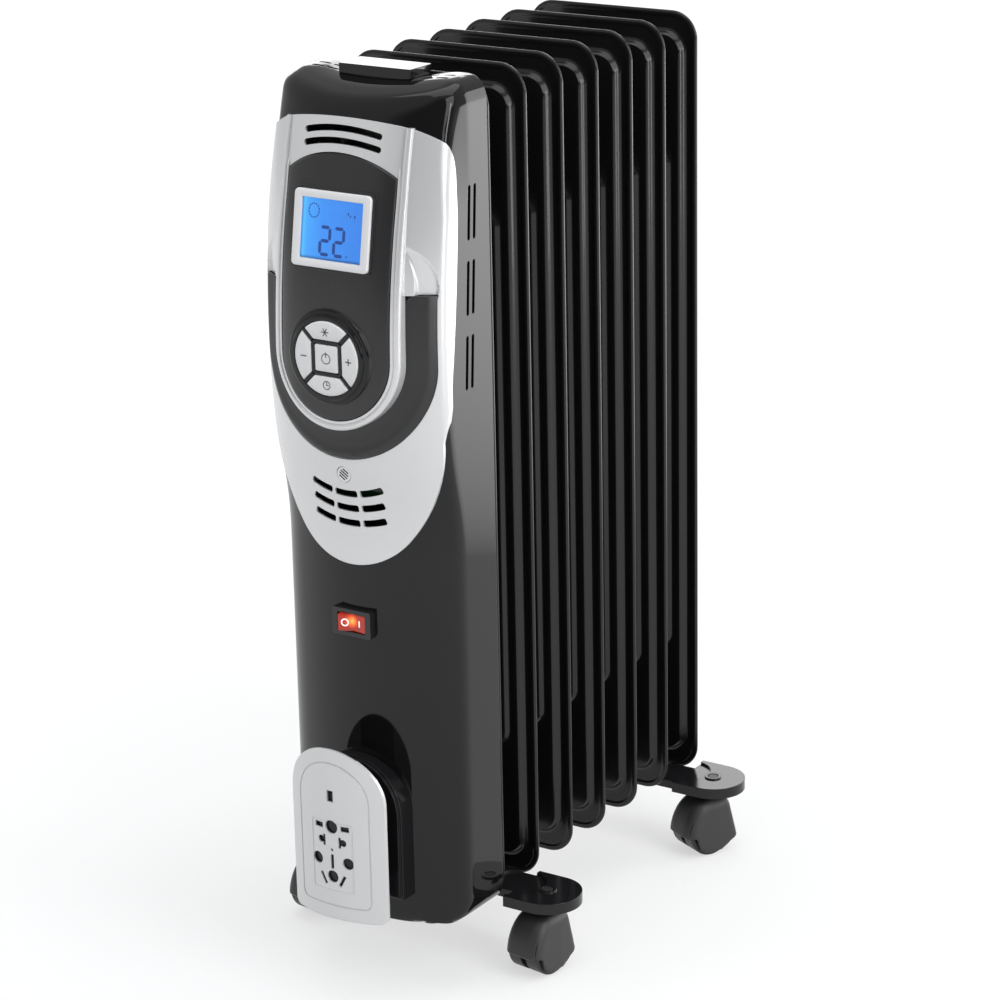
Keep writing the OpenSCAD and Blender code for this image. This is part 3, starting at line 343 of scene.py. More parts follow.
def fin_side_rings():
    """Rings of one pressed half, with the bends of the sheet rounded off."""
    out = (FIN_STEPS[:, 0] - FIN_STEPS[0, 0]) / 2
    spread = np.linspace(-1, 1, 21)
    steps = {0.0}
    for bend in out[1:-1]:
        softness = 1.4 if bend < 20 else 0.5
        steps.update(round(bend + softness * f, 3) for f in (-1, -0.5, 0, 0.5, 1))
    rings = []
    for step in sorted(steps):
        wide, tall, corner = (np.interp(step, out, FIN_STEPS[:, k]) for k in range(3))
        softness = 1.1 if step < 20 else 0.4
        rise = np.interp(step + softness * spread, out, FIN_STEPS[:, 3]).mean()
        rings.append((wide, tall, corner, rise))
    for turn in np.radians((0, 22.5, 45, 67.5)):
        lost = RIM_HALF * (1 - math.sin(turn))
        rings.append((FIN_WIDE - 2 * lost, FIN_TALL - 2 * lost, FIN_CORNER - lost,
                      RIM_HALF * math.cos(turn)))
    return rings


def lathe(bm, profile, centre, steps=48):
    """Turns a profile of (radius, place along Y) round an axis that lies along Y."""
    angles = [2 * math.pi * k / steps for k in range(steps)]
    skin_rings(bm, [[(centre[0] + r * math.cos(a), centre[1] + y, centre[2] + r * math.sin(a))
                     for a in angles] for r, y in profile])


enamel = finish("black stove enamel", (0.0075, 0.0075, 0.008), 0.19, grain_size=420.0,
                grain_depth=0.012, cloud_size=9.0, tone_change=0.2, rough_change=0.1, edge=0,
                IOR=1.4, Coat_Weight=0.1, Coat_Roughness=0.06)
half = fin_side_rings()
both_halves = ([(w, h, r, -y) for w, h, r, y in half] + [(FIN_WIDE, FIN_TALL, FIN_CORNER, 0.0)]
               + half[::-1])
header_reach = FIN_TALL / 2 - RING_INSET
for number in range(FIN_COUNT):
    bm = bmesh.new()
    skin_rings(bm, [rounded_ring(*ring) for ring in both_halves])
    if number == 0:
        # the screwed boss of the heating element, forward of the first fin
        lathe(bm, [(RING_RADIUS, -13.0), (RING_RADIUS, -FACE_OUT + 0.5)], (0, 0, -header_reach))
    if number == FIN_COUNT - 1:
        # the boss of the filler plug, behind the last fin
        lathe(bm, [(13.0, FACE_OUT - 0.3), (11.6, FACE_OUT + 0.6), (11.0, FACE_OUT + 2.0),
                   (11.0, 17.4)], (0, 0, header_reach))
    fin = add_piece("pressed_fin_%d" % (number + 1), finished_mesh(bm, "fin"), enamel, "heater",
                    "fin_enamel", "fin_%d" % (number + 1))
    fin.location = (0, (FIRST_FIN_Y + number * FIN_PITCH) * MM, (FIN_LIFT + FIN_TALL / 2) * MM)

bm = bmesh.new()
for gap in range(FIN_COUNT - 1):
    start = FIRST_FIN_Y + gap * FIN_PITCH + FACE_OUT
    end = start + FIN_PITCH - 2 * FACE_OUT
    for height in (FIN_LIFT + RING_INSET, FIN_LIFT + FIN_TALL - RING_INSET):
        swell = [(RING_RADIUS + out, start + along) for out, along in WELD_SWELL]
        lathe(bm, swell + [(r, start + end - y) for r, y in reversed(swell)], (0, 0, height))
add_piece("welded_header_rings", finished_mesh(bm, "header_rings"), enamel, "heater",
          "fin_enamel", "header_rings")


# ---- Control housing ------------------------------------------------------------------
# One tall hollow moulding in high gloss black plastic, screwed to the heat shield on the
# first fin. It is bowed in plan, bellied behind the keys, and dished between its shoulders.
HOUSE_HALF = 70.0
HOUSE_LOW = 50.0
HOUSE_TOP = 631.0
HOUSE_REAR = -95.3
HOUSE_WALL = 2.5
BOW_AXIS = -35.3
BOW_RADIUS = 127.0
BELLY_LIFT = 11.0
BELLY_HEIGHT = 457.0
BELLY_ARC = 660.0
BLEND_ARC = 300.0
CORNER_AXIS = HOUSE_REAR + 7
CORNER_RADIUS = math.hypot(HOUSE_HALF, math.sqrt(BOW_RADIUS ** 2 - HOUSE_HALF ** 2)
                           - BOW_AXIS + CORNER_AXIS) - 2.2
DISH_DEPTH = 5.0
DISH_HALF = 50.0
DISH_ARC = (DISH_HALF ** 2 + DISH_DEPTH ** 2) / (2 * DISH_DEPTH)
SHOULDER = 16.0
FOOT = 14.0
BROW_Y = -131.4
BROW_Z = HOUSE_TOP - 33
BROW_ROUND = 26.0
BROW_TILT = math.radians(65)
CORE_LOW = HOUSE_LOW + 40
CORE_HIGH = HOUSE_TOP - 46
CREASE_Y = -118.0
CREASE_Z = 545.0
LOUVRE_TALL = 36.0
LOUVRE_WIDE = 3.0
LOUVRE_LEAN = math.tan(math.radians(-3.5))
LOUVRE_TOP = HOUSE_TOP - 86.5
LOUVRE_ROW = 49.5
LOUVRE_COLUMN = 6.4
TOP_SLOT_LONG = 9.5
TOP_SLOT_WIDE = 2.6


def rounded_max(a, b, softness):
    """The larger of two distances, with the edge where they meet rounded off."""
    near = np.maximum(softness - np.abs(a - b), 0) / softness
    return np.maximum(a, b) + near * near * softness / 4


def bow_reach(z, radius, lift, arc):
    """Radius of the bowed front at a height: straight below, then blended into the belly."""
    span = arc + BLEND_ARC
    rise = math.sqrt(span ** 2 - (span - lift) ** 2)
    start, join = BELLY_HEIGHT - rise, BELLY_HEIGHT - rise * arc / span
    blend = radius + BLEND_ARC - np.sqrt(np.maximum(BLEND_ARC ** 2 - (z - start) ** 2, 0))
    belly = radius + lift - arc + np.sqrt(arc ** 2 - (z - BELLY_HEIGHT) ** 2)
    return np.where(z < start, radius, np.where(z < join, blend, belly))


def housing_distance(x, y, z):
    """Roughly how far a point lies outside the housing's form, in millimetres."""
    side = np.abs(x)
    bow = np.hypot(x, y - BOW_AXIS) - bow_reach(z, BOW_RADIUS, BELLY_LIFT, BELLY_ARC)
    corner = np.hypot(x, y - CORNER_AXIS) - bow_reach(z, CORNER_RADIUS, BELLY_LIFT * 0.76,
                                                      BELLY_ARC * 1.36)
    dish = HOUSE_TOP - DISH_DEPTH + DISH_ARC - np.sqrt(
        DISH_ARC ** 2 - np.minimum(side, DISH_HALF) ** 2)
    top = rounded_max(z - dish, z - HOUSE_TOP, 0.8)
    brow = ((BROW_Y - y) * math.cos(BROW_TILT) + (z - BROW_Z) * math.sin(BROW_TILT)
            - BROW_ROUND)
    form = rounded_max(bow, corner, 5.0)
    # flank, shoulder and foot are one surface, drawn in a little below the brow to a crease
    corner_in = HOUSE_HALF - SHOULDER
    up, down = np.maximum(z - HOUSE_TOP + SHOULDER, 0), np.maximum(HOUSE_LOW + FOOT - z, 0)
    flank = np.where(z > 300, np.hypot(np.maximum(side - corner_in, 0), up) - SHOULDER,
                     np.hypot(np.maximum(side - HOUSE_HALF + FOOT, 0), down) - FOOT)
    flank = flank + np.clip((CREASE_Y - y) * 0.16, 0, 4.0) * np.clip((z - CREASE_Z) / 55, 0, 1)
    form = rounded_max(form, flank, 4.0)
    form = rounded_max(form, brow, 9.0)
    return rounded_max(form, np.where(side < corner_in + 6, top, top - 8), 3.0)


def cast_out(origin, direction, distance, reach=420.0):
    """Where rays from inside a form leave it, found by halving."""
    inside = np.zeros(len(origin))
    outside = np.full(len(origin), reach)
    for _ in range(34):
        middle = (inside + outside) / 2
        within = distance(*(origin + direction * middle[:, None]).T) < 0
        inside = np.where(within, middle, inside)
        outside = np.where(within, outside, middle)
    return origin + direction * inside[:, None]


def ray(turn, lift):
    """A direction turned from straight ahead towards the right, and lifted."""
    return (math.sin(turn) * math.cos(lift), -math.cos(turn) * math.cos(lift), math.sin(lift))


def joined_steps(*stops):
    """Even steps between stops of (value, count of steps to the next stop)."""
    parts = [np.linspace(a, b, count + 1)[:-1] for (a, count), (b, _) in zip(stops, stops[1:])]
    return np.concatenate(parts + [[stops[-1][0]]])


def bm_box(bm, low, high):
    """A block between two corners in millimetres."""
    corners = [bm.verts.new((x * MM, y * MM, z * MM)) for x in (low[0], high[0])
               for y in (low[1], high[1]) for z in (low[2], high[2])]
    for face in ((0, 1, 3, 2), (4, 6, 7, 5), (0, 4, 5, 1), (2, 3, 7, 6), (0, 2, 6, 4),
                 (1, 5, 7, 3)):
        bm.faces.new([corners[k] for k in face])


def stadium(length, width, per_end=8):
    """Outline of a slot with round ends, long way upright."""
    points = []
    for end in (1, -1):
        for step in range(per_end + 1):
            turn = math.radians(90 - 90 * end + 180 * step / per_end)
            points.append((width / 2 * math.cos(turn), end * (length - width) / 2
                           + width / 2 * math.sin(turn)))
    return points


def prism(bm, outline, near, far):
    """A prism along Y with an outline of (across, up) points, in millimetres."""
    skin_rings(bm, [[(x, y, z) for x, z in outline] for y in (near, far)])


def housing_skin():
    """The housing's outer skin, open towards the fins."""
    turns = np.radians(joined_steps((-90, 29), (-52, 31), (-30, 30), (30, 31), (52, 29), (90, 0)))
    rows = [(lift, CORE_LOW) for lift in np.radians(np.linspace(-90, -3, 30))]
    rows += [(0.0, height) for height in np.linspace(CORE_LOW, CORE_HIGH, 125)]
    rows += [(lift, CORE_HIGH) for lift in np.radians(
        np.concatenate([np.linspace(1.5, 33, 22), np.linspace(34, 90, 66)]))]
    origin = np.array([(0, HOUSE_REAR, height) for _, height in rows for _ in turns])
    direction = np.array([ray(turn, lift) for lift, _ in rows for turn in turns])
    points = cast_out(origin, direction, housing_distance) * MM
    bm = bmesh.new()
    verts = [bm.verts.new(point) for point in points]
    columns = len(turns)
    for start in range(0, len(verts) - columns, columns):
        for k in range(start, start + columns - 1):
            bm.faces.new((verts[k], verts[k + 1], verts[k + columns + 1], verts[k + columns]))
    bmesh.ops.remove_doubles(bm, verts=bm.verts, dist=0.00002)
    return bm


def housing_cuts():
    """Blocks of air: the louvres at the sides and on top, and the wells for what is let in."""
    bm = bmesh.new()
    for side in (-1, 1):
        for row in range(3):
            for column in range(2):
                y = HOUSE_REAR - 17 - LOUVRE_COLUMN * column - 3 * row
                z = LOUVRE_TOP - LOUVRE_ROW * row
                skin_rings(bm, [[(x, y + a - LOUVRE_LEAN * b, z + b)
                                 for a, b in stadium(LOUVRE_TALL, LOUVRE_WIDE)]
                                for x in (side * 64, side * 76)])
        for row in range(2):
            for column in range(2):
                x, y = side * (37 + 12 * column), HOUSE_REAR - 11 - 8 * row
                skin_rings(bm, [[(x + b, y + a, z)
                                 for a, b in stadium(TOP_SLOT_LONG, TOP_SLOT_WIDE)]
                                for z in (HOUSE_TOP - 14, HOUSE_TOP + 6)])
    # behind the fascia's top slots and its lower slots, the panel, and the mains switch
    for half_wide, near, far, low, high in (
            (29, -185, -120, HOUSE_TOP - 44, HOUSE_TOP - 27), (29, -185, -140, 332, 362),
            (36, -190, -150, 430, 562), (13.9, -185, -150, 258.1, 273.9)):
        bm_box(bm, (-half_wide, near, low), (half_wide, far, high))
    # behind the two shoulders of the grip insert
    for side in (-1, 1):
        prism(bm, [(side * x, z) for x, z in (
            (47, 420), (65, 420), (65, 488), (68.4, 488), (68.4, 528), (47, 528))], -190, -142)
    return bm


def carve(piece, tool, operation="DIFFERENCE", crease=35):
    """Cuts a piece with closed forms and keeps the shape that all its modifiers give."""
    bmesh.ops.recalc_face_normals(tool, faces=tool.faces)
    mesh = bpy.data.meshes.new("tool")
    tool.to_mesh(mesh)
    tool.free()
    shape = bpy.data.objects.new("tool", mesh)
    bpy.context.scene.collection.objects.link(shape)
    cut = piece.modifiers.new("cut", "BOOLEAN")
    cut.operation = operation
    cut.solver = "EXACT"
    cut.object = shape
    shaped = bpy.data.meshes.new_from_object(
        piece.evaluated_get(bpy.context.evaluated_depsgraph_get()))
    piece.modifiers.clear()
    piece.data = shaped
    shaped.shade_smooth()
    shaped.set_sharp_from_angle(angle=math.radians(crease))
    bpy.data.objects.remove(shape)


gloss_black = finish("high gloss black moulding", (0.006, 0.006, 0.0065), 0.06, grain_size=90.0,
                     grain_depth=0.006, cloud_size=6.0, tone_change=0.15, rough_change=0.05,
                     edge=0.5, IOR=1.38)
housing = add_piece("housing_shell", finished_mesh(housing_skin(), "housing", crease=50),
                    gloss_black, "heater", "housing_gloss", "front_housing")
wall = housing.modifiers.new("wall", "SOLIDIFY")
wall.thickness = HOUSE_WALL * MM
wall.offset = -1
carve(housing, housing_cuts(), crease=50)


# ---- Fascia ---------------------------------------------------------------------------
# A thin shell moulded in plastic and lacquered silver, clipped over the housing's front.
# Its proud double band runs up both sides of the panel as ridges, and above each grip
# insert a horn-shaped hollow leads a finger in. Air slots pass through above and below.
FASCIA_THICK = 1.6
KEY_HEIGHT = 453.5
PANEL_HALF = 42.7
PANEL_TOP = 571.0
PANEL_RISE = 14.0
BAND = 6.8
BAND_TOP = 603.0
POD_FRONT = -180.3
POD_RADIUS = 150.0
POD_HEIGHT = 440.0
POD_ARC = 564.0
ARCH_HEIGHT = 486.5
ARCH_RADIUS = 126.0
POCKET_RADIUS = 67.5
POCKET_HEIGHT = 450.0
POCKET_TOP = 497.0
HORN_DEPTH = 2.6
HORN_LOW, HORN_TIP = 490.0, 531.0
CHIME_HEIGHT = 371.0
SHIELD_HALF = 76.0
SHIELD_FOOT = 56.0
SHIELD_FOOT_HEIGHT = 363.0
TOP_SLOT_RADII = (114, 106)
TOP_SLOT_HALF = 30.6
LOW_SLOT_ROUND = 430.0
LOW_SLOT_HALF = 8.9
# the band's section: across from the panel's edge, drop from the crest, and 1 where the
# form fades into the ridge above the panel
BAND_SECTION = ((0.35, 4.5, 1), (0.35, 1.1, 1), (0.6, 0.8, 1), (1.2, 0.7, 1), (2.0, 0.72, 1),
                (2.35, 1.15, 1), (2.6, 1.2, 1), (2.85, 0.8, 0), (3.2, 0.3, 0), (3.9, 0.05, 0),
                (4.8, 0.0, 0), (5.7, 0.12, 0), (6.3, 0.5, 0), (6.65, 1.1, 0), (BAND, 2.0, 0),
                (BAND, 10.0, 0), (3.5, 11.0, 0))


def arc_points(x, z, radius, start, end, count):
    """Points of (across, up) round an arc, in degrees from the +X side."""
    return [(x + radius * math.cos(a), z + radius * math.sin(a))
            for a in np.radians(np.linspace(start, end, count))]


def mirrored(right):
    """Closes an outline whose right half runs upwards from the middle line."""
    return right + [(-x, z) for x, z in reversed(right) if x > 0.01]


def through(*outlines):
    """Prisms that pass right through the control front, for carving."""
    bm = bmesh.new()
    for outline in outlines:
        prism(bm, outline, -240, -100)
    return bm


def add_forms(piece, build, name, crease):
    """Adds closed forms to a piece's mesh, beside what it has."""
    bm = bmesh.new()
    bm.from_mesh(piece.data)
    build(bm)
    piece.data = finished_mesh(bm, name, crease)


def front_at(x, z, lift=0.0):
    """Depth of the housing's front, grown by a lift, at points across and up."""
    x, z = np.atleast_1d(np.asarray(x, float)), np.atleast_1d(np.asarray(z, float))
    origin = np.stack([x, np.full(len(x), -100.0), z], axis=1)
    forward = np.tile((0.0, -1.0, 0.0), (len(x), 1))
    return cast_out(origin, forward, lambda *at: housing_distance(*at) - lift, 120.0)[:, 1]


def pod_at(x, z, lift=0.0):
    """Depth of the panel's domed front at points across and up."""
    reach = POD_RADIUS - POD_ARC + np.sqrt((POD_ARC + lift) ** 2 - (z - POD_HEIGHT) ** 2)
    return POD_FRONT + POD_RADIUS - np.sqrt(reach ** 2 - np.square(x))


def horn_depth(x, z):
    """Depth of the hollows above the grip inserts: they start as a point and open downwards."""
    side = np.abs(x)
    outer = 28.5 - np.hypot(side - 39.5, z - 502)
    inner = np.hypot(side - 12.8, z - 502) - 42.7
    within = np.clip(np.minimum(outer, inner * 1.6) / 2.2, 0, 1)
    opening = np.clip((HORN_TIP - z) / 34, 0, 1)
    return HORN_DEPTH * opening * (1 - (1 - within) ** 2) * (z < HORN_TIP) * (z > HORN_LOW)


def curved_shell(lift, turns, heights):
    """A shell over the housing's front, where lift(x, z) is how far it stands proud."""
    directions = np.array([ray(turn, 0.0) for turn in np.radians(turns)])
    origin = np.array([(0, HOUSE_REAR, z) for z in heights for _ in turns])
    bm = bmesh.new()
    skins = []
    for surface in (lift, lambda x, z: np.minimum(0.1, lift(x, z) - 0.9)):
        points = cast_out(origin, np.tile(directions, (len(heights), 1)),
                          lambda x, y, z: housing_distance(x, y, z) - surface(x, z), 160.0)
        skins.append([bm.verts.new(point) for point in points * MM])
    columns, rows = len(turns), len(heights)
    for verts in skins:
        for start in range(0, columns * (rows - 1), columns):
            for k in range(start, start + columns - 1):
                bm.faces.new((verts[k], verts[k + 1], verts[k + columns + 1],
                              verts[k + columns]))
    rim = list(range(columns)) + [r * columns + columns - 1 for r in range(1, rows)]
    rim += [(rows - 1) * columns + k for k in range(columns - 2, -1, -1)]
    rim += [r * columns for r in range(rows - 2, 0, -1)]
    front, back = skins
    for here, after in zip(rim, rim[1:] + rim[:1]):
        bm.faces.new((front[here], front[after], back[after], back[here]))
    return bm


def curved_slot(radius, height, start, end, width, corner, up=1):
    """Outline of a slot that follows an arc, with its corners rounded."""
    outline = []
    for quarter, (a, b) in enumerate(((1, 1), (-1, 1), (-1, -1), (1, -1))):
        for step in range(6):
            turn = math.radians(90 * (quarter + step / 5))
            s = (start + end) / 2 + a * ((end - start) / 2 - corner) + corner * math.cos(turn)
            t = b * (width / 2 - corner) + corner * math.sin(turn)
            outline.append(((radius + t) * math.sin(s / radius),
                            height + up * (radius + t) * math.cos(s / radius)))
    # the long sides follow their arcs in short steps
    dense = []
    for here, after in zip(outline, outline[1:] + outline[:1]):
        dense.append(here)
        run = after[0] - here[0]
        if abs(run) > 3:
            count = int(abs(run) / 2.5)
            inside = math.hypot(here[0], here[1] - height)
            for k in range(1, count):
                x = here[0] + run * k / count
                dense.append((x, height + up * math.sqrt(inside ** 2 - x * x)))
    return dense


def panel_outline(grow, per_arc=40, per_side=30):
    """Outline of the panel: round foot, straight sides and arched top."""
    half = PANEL_HALF + grow
    arc = (PANEL_HALF ** 2 + PANEL_RISE ** 2) / (2 * PANEL_RISE)
    centre = PANEL_TOP + PANEL_RISE - arc
    corner = centre + math.sqrt((arc + grow) ** 2 - half ** 2)
    tip = math.degrees(math.asin(half / (arc + grow)))
    right = arc_points(0, KEY_HEIGHT, half, -90, 0, per_arc)
    right += [(half, KEY_HEIGHT + (corner - KEY_HEIGHT) * k / per_side)
              for k in range(1, per_side)]
    right += arc_points(0, centre, arc + grow, 90 - tip, 90, per_arc)
    return mirrored(right)


def pocket_outline(grow):
    """Outline of the pocket: round foot, straight sides and square top."""
    right = arc_points(0, POCKET_HEIGHT, POCKET_RADIUS + grow, -90, 0, 60)
    return mirrored(right + [(POCKET_RADIUS + grow, POCKET_TOP + grow), (0, POCKET_TOP + grow)])


def shield_outline():
    """The fascia's outline seen from the front: round foot, flare, sides and arched top."""
    join = -math.degrees(math.acos(43.45 / SHIELD_FOOT))
    right = arc_points(0, SHIELD_FOOT_HEIGHT, SHIELD_FOOT, -90, join, 40)
    right += arc_points(-42, 397, 110, -39.05, 0, 40)[1:]
    shoulder = math.degrees(math.acos(SHIELD_HALF / ARCH_RADIUS))
    right += [(71.5, 420), (SHIELD_HALF, 440)]
    return mirrored(right + arc_points(0, ARCH_HEIGHT, ARCH_RADIUS, shoulder, 90, 50))


def fascia_side():
    """The fascia's rear edge seen from the side."""
    edge = [(-260.0, 250.0)]
    edge += [(max(-132.6 - (600 - z) ** 2 / 2260, -144.6), z)
             for z in np.linspace(250, 572.5, 50)]
    edge += [(-133.3, 579), (-134.2, 584), (-135.6, 588), (-137.4, 591.5), (-139.8, 595),
             (-142.8, 598), (-146.5, 601), (-151, 604), (-158, 608), (-170, 614), (-260, 640)]
    bm = bmesh.new()
    skin_rings(bm, [[(x, y, z) for y, z in edge] for x in (-90, 90)])
    return bm


def air_slots():
    """Two arched slots above the panel, and three rows of three below it."""
    top = [curved_slot(radius, ARCH_HEIGHT, -TOP_SLOT_HALF, TOP_SLOT_HALF, 4.2, 2.05)
           for radius in TOP_SLOT_RADII]
    return top + [curved_slot(72.5 + 10.5 * row, LOW_SLOT_ROUND, middle - LOW_SLOT_HALF,
                              middle + LOW_SLOT_HALF, 4.8, 1.5, up=-1)
                  for row in range(3) for middle in (-20, 0, 20)]


def band_rings():
    """Sections of the proud band, from the top of one ridge round the panel to the other."""
    stations = [(1, z, 0.0) for z in np.linspace(BAND_TOP, KEY_HEIGHT, 76)]
    stations += [(1, KEY_HEIGHT, a) for a in np.linspace(0, 180, 73)[1:-1]]
    stations += [(-1, z, 0.0) for z in np.linspace(KEY_HEIGHT, BAND_TOP, 76)]
    flat = []
    for side, height, turn in stations:
        for across_band, drop, fades in BAND_SECTION:
            x, z = side * (PANEL_HALF + across_band), height
            if turn:
                reach, x = x, x * math.cos(math.radians(turn))
                z = KEY_HEIGHT - reach * math.sin(math.radians(turn))
            above = min(max((height - PANEL_TOP - 2) / 6, 0), 1) * fades
            flat.append((x, z, drop, above))
    x, z, drop, above = np.array(flat).T
    crest = np.minimum(front_at(x, z, 3.4), pod_at(x, z, 0.8))
    shell = front_at(x, z, FASCIA_THICK)
    deep = np.where(drop > 3, shell + 1.2, crest + drop)
    depth = deep * (1 - above) + np.maximum(deep, shell + 0.5) * above
    return np.stack([x, depth, z], axis=1).reshape(len(stations), len(BAND_SECTION), 3)


silver = finish("silver lacquer", (0.70, 0.70, 0.705), 0.26, grain_size=1600.0,
                grain_depth=0.006, cloud_size=7.0, tone_change=0.05, rough_change=0.06,
                edge=0.5, Metallic=0.35, Coat_Weight=0.4, Coat_Roughness=0.12)
turns = np.concatenate([np.arange(-66, -36, 0.42), np.arange(-36, 36, 1.5),
                        np.arange(36, 66.4, 0.42)])
heights = np.concatenate([np.arange(300, 488, 3.0), np.arange(488, 534, 0.8),
                          np.arange(534, 616, 1.6)])
bm = curved_shell(lambda x, z: FASCIA_THICK - horn_depth(x, z), turns, heights)
fascia = add_piece("fascia_shell", finished_mesh(bm, "fascia"), silver, "heater",
                   "fascia_silver", "fascia")
carve(fascia, through(shield_outline()), "INTERSECT")
carve(fascia, fascia_side(), "INTERSECT")
carve(fascia, through(panel_outline(0.3), *air_slots(),
                      arc_points(0, CHIME_HEIGHT, 5.7, 0, 350, 36)))
carve(fascia, through(pocket_outline(0.2)))
add_forms(fascia, lambda bm: skin_rings(bm, band_rings()), "fascia", crease=40)
fascia.data.materials.append(silver)


# ---- Grip inserts ---------------------------------------------------------------------
# One U-shaped moulding in satin charcoal plastic that lines the pocket round the panel.
# It is sunk beside the band and stands proud at its outer crease, where fingers hold.
INSERT_HALF = PANEL_HALF + BAND - 0.3
INSERT_CORNER = 6.0
# distance from the middle, and how far the insert stands off the housing there
INSERT_LIFT = np.array([(46, 0.3), (50, 0.35), (58, 1.9), (63.0, 3.3), (63.8, 3.35),
                        (64.4, 3.05), (67.6, 1.0), (75, 0.6)]).T


def insert_lift(x, z):
    """How far the insert stands off the housing, at points across and up."""
    side = np.hypot(x, np.minimum(z - POCKET_HEIGHT, 0) * 0.97)
    return np.interp(side, *INSERT_LIFT)


def insert_opening():
    """What the insert leaves open for the band, with a rounded corner beside it on top."""
    right = arc_points(0, KEY_HEIGHT, INSERT_HALF, -90, 0, 60)
    right += [(INSERT_HALF, POCKET_TOP - INSERT_CORNER)]
    right += arc_points(INSERT_HALF + INSERT_CORNER, POCKET_TOP - INSERT_CORNER, INSERT_CORNER,
                        170, 96, 8)
    return mirrored(right + [(INSERT_HALF + 5.6, POCKET_TOP + 9), (0, POCKET_TOP + 9)])


charcoal = finish("satin charcoal moulding", (0.019, 0.019, 0.020), 0.3, grain_size=1400.0,
                  grain_depth=0.008, cloud_size=6.0, tone_change=0.1, rough_change=0.06,
                  edge=0.7, Coat_Weight=0.25, Coat_Roughness=0.2, IOR=1.4)
turns = np.concatenate([np.arange(-66, -30, 0.4), np.arange(-30, 30, 1.5),
                        np.arange(30, 66.2, 0.4)])
bm = curved_shell(insert_lift, turns, np.arange(372, 502, 2.0))
insert = add_piece("grip_insert", finished_mesh(bm, "insert"), charcoal, "heater",
                   "insert_grey", "pocket_insert")
carve(insert, through(pocket_outline(0.0)), "INTERSECT")
carve(insert, through(insert_opening()), crease=25)


# ---- Control panel --------------------------------------------------------------------
# A domed panel in the same charcoal plastic, with a low seat that holds the display's
# bezel. The two-step ring round the keys and the ribs that part them are gloss black.
RING_OUTER = 31.4
RING_INNER = 28.2
WELL = 25.5
WELL_FLOOR = POD_FRONT + 1.2
RIB_FRONT = POD_FRONT - 3.2
RIB_BACK = WELL_FLOOR + 0.4
FRAME_OUTER, FRAME_INNER = 11.7, 9.5
SPOKE_START, SPOKE_END, SPOKE_HALF = 15.2, 26.0, 1.1
DISPLAY_HEIGHT = 536.3
DISPLAY_LEAN = math.radians(-9)
DISPLAY_FRONT = -173.2
BEZEL_WIDE = 60.0
BEZEL_TALL = 50.0
# inset from the panel's edge, and how far its rounded rim falls back there
PANEL_RIM = ((0.0, 8.0), (0.0, 1.5), (0.12, 0.9), (0.45, 0.42), (0.95, 0.12), (1.6, 0.0))
# radius and depth of the ring's section, from its outer foot to the inside of the well
RING_SECTION = ((RING_OUTER + 2.4, 7.0), (RING_OUTER + 0.5, 0.2), (RING_OUTER + 0.1, -0.7),
                (RING_OUTER - 0.6, -1.15), (RING_INNER + 1.0, -1.2), (RING_INNER + 0.35, -1.5),
                (RING_INNER + 0.1, -2.5), (RING_INNER - 0.5, -3.1), (RING_INNER - 1.3, -3.2),
                (24.0, -3.2), (24.0, 7.0))


def panel_face(x, z):
    """Depth of the panel's face: nearly flat in the middle and rounded off to its sides."""
    fall = np.square(PANEL_HALF) / (2 * POD_RADIUS) * (np.abs(x) / PANEL_HALF) ** 3.4
    return pod_at(0 * x, z) + fall * 1.02


def panel_rings():
    """Rings from the panel's rear edge over its rounded rim to its middle line."""
    rings = []
    for inset, back in (*PANEL_RIM, *((d, 0.0) for d in np.linspace(3, PANEL_HALF - 0.4, 30))):
        outline = np.array(panel_outline(-inset))
        depth = panel_face(outline[:, 0], outline[:, 1]) + back
        rings.append([(x, y, z) for (x, z), y in zip(outline, depth)])
    return rings


def tilted_block(bm, width, height, radius, front, back):
    """A round-cornered block that leans back with the display."""
    lean = Matrix.Rotation(DISPLAY_LEAN, 3, "X")
    middle = Vector((0, DISPLAY_FRONT, DISPLAY_HEIGHT))
    skin_rings(bm, [[lean @ Vector(point) + middle
                     for point in rounded_ring(width, height, radius, y)]
                    for y in (front, back)])


def key_ribs(bm):
    """A square frame round the middle key, and four spokes, as low ribs in the well."""
    outer, inner = FRAME_OUTER, FRAME_INNER
    for x0, x1, z0, z1 in ((-outer, outer, inner, outer), (-outer, outer, -outer, -inner),
                           (-outer, -inner, -inner, inner), (inner, outer, -inner, inner)):
        bm_box(bm, (x0, RIB_FRONT, KEY_HEIGHT + z0), (x1, RIB_BACK, KEY_HEIGHT + z1))
    for quarter in range(4):
        turn = math.radians(45 + 90 * quarter)
        along = np.array((math.cos(turn), math.sin(turn)))
        beside = np.array((-along[1], along[0])) * SPOKE_HALF
        start, end = along * SPOKE_START, along * SPOKE_END
        outline = [start - beside, end - beside, end + beside, start + beside]
        prism(bm, [(x, KEY_HEIGHT + z) for x, z in outline], RIB_FRONT, RIB_BACK)


bm = bmesh.new()
skin_rings(bm, panel_rings())
panel = add_piece("domed_panel", finished_mesh(bm, "panel"), charcoal, "heater",
                  "panel_grey", "control_panel")
ring = bmesh.new()
lathe(ring, [(radius, POD_FRONT + y) for radius, y in RING_SECTION], (0, 0, KEY_HEIGHT),
      steps=128)
carve(panel, ring, "UNION")
seat = bmesh.new()
tilted_block(seat, BEZEL_WIDE + 3.2, BEZEL_TALL + 3.2, 4.2, 1.1, 12)
carve(panel, seat, "UNION")
wells = bmesh.new()
lathe(wells, [(WELL, WELL_FLOOR - 20), (WELL, WELL_FLOOR)], (0, 0, KEY_HEIGHT), steps=96)
tilted_block(wells, BEZEL_WIDE + 0.5, BEZEL_TALL + 0.5, 3.2, -20, 6)
carve(panel, wells)
add_forms(panel, key_ribs, "panel", crease=30)
panel.data.materials.append(charcoal)
panel.data.materials.append(gloss_black)
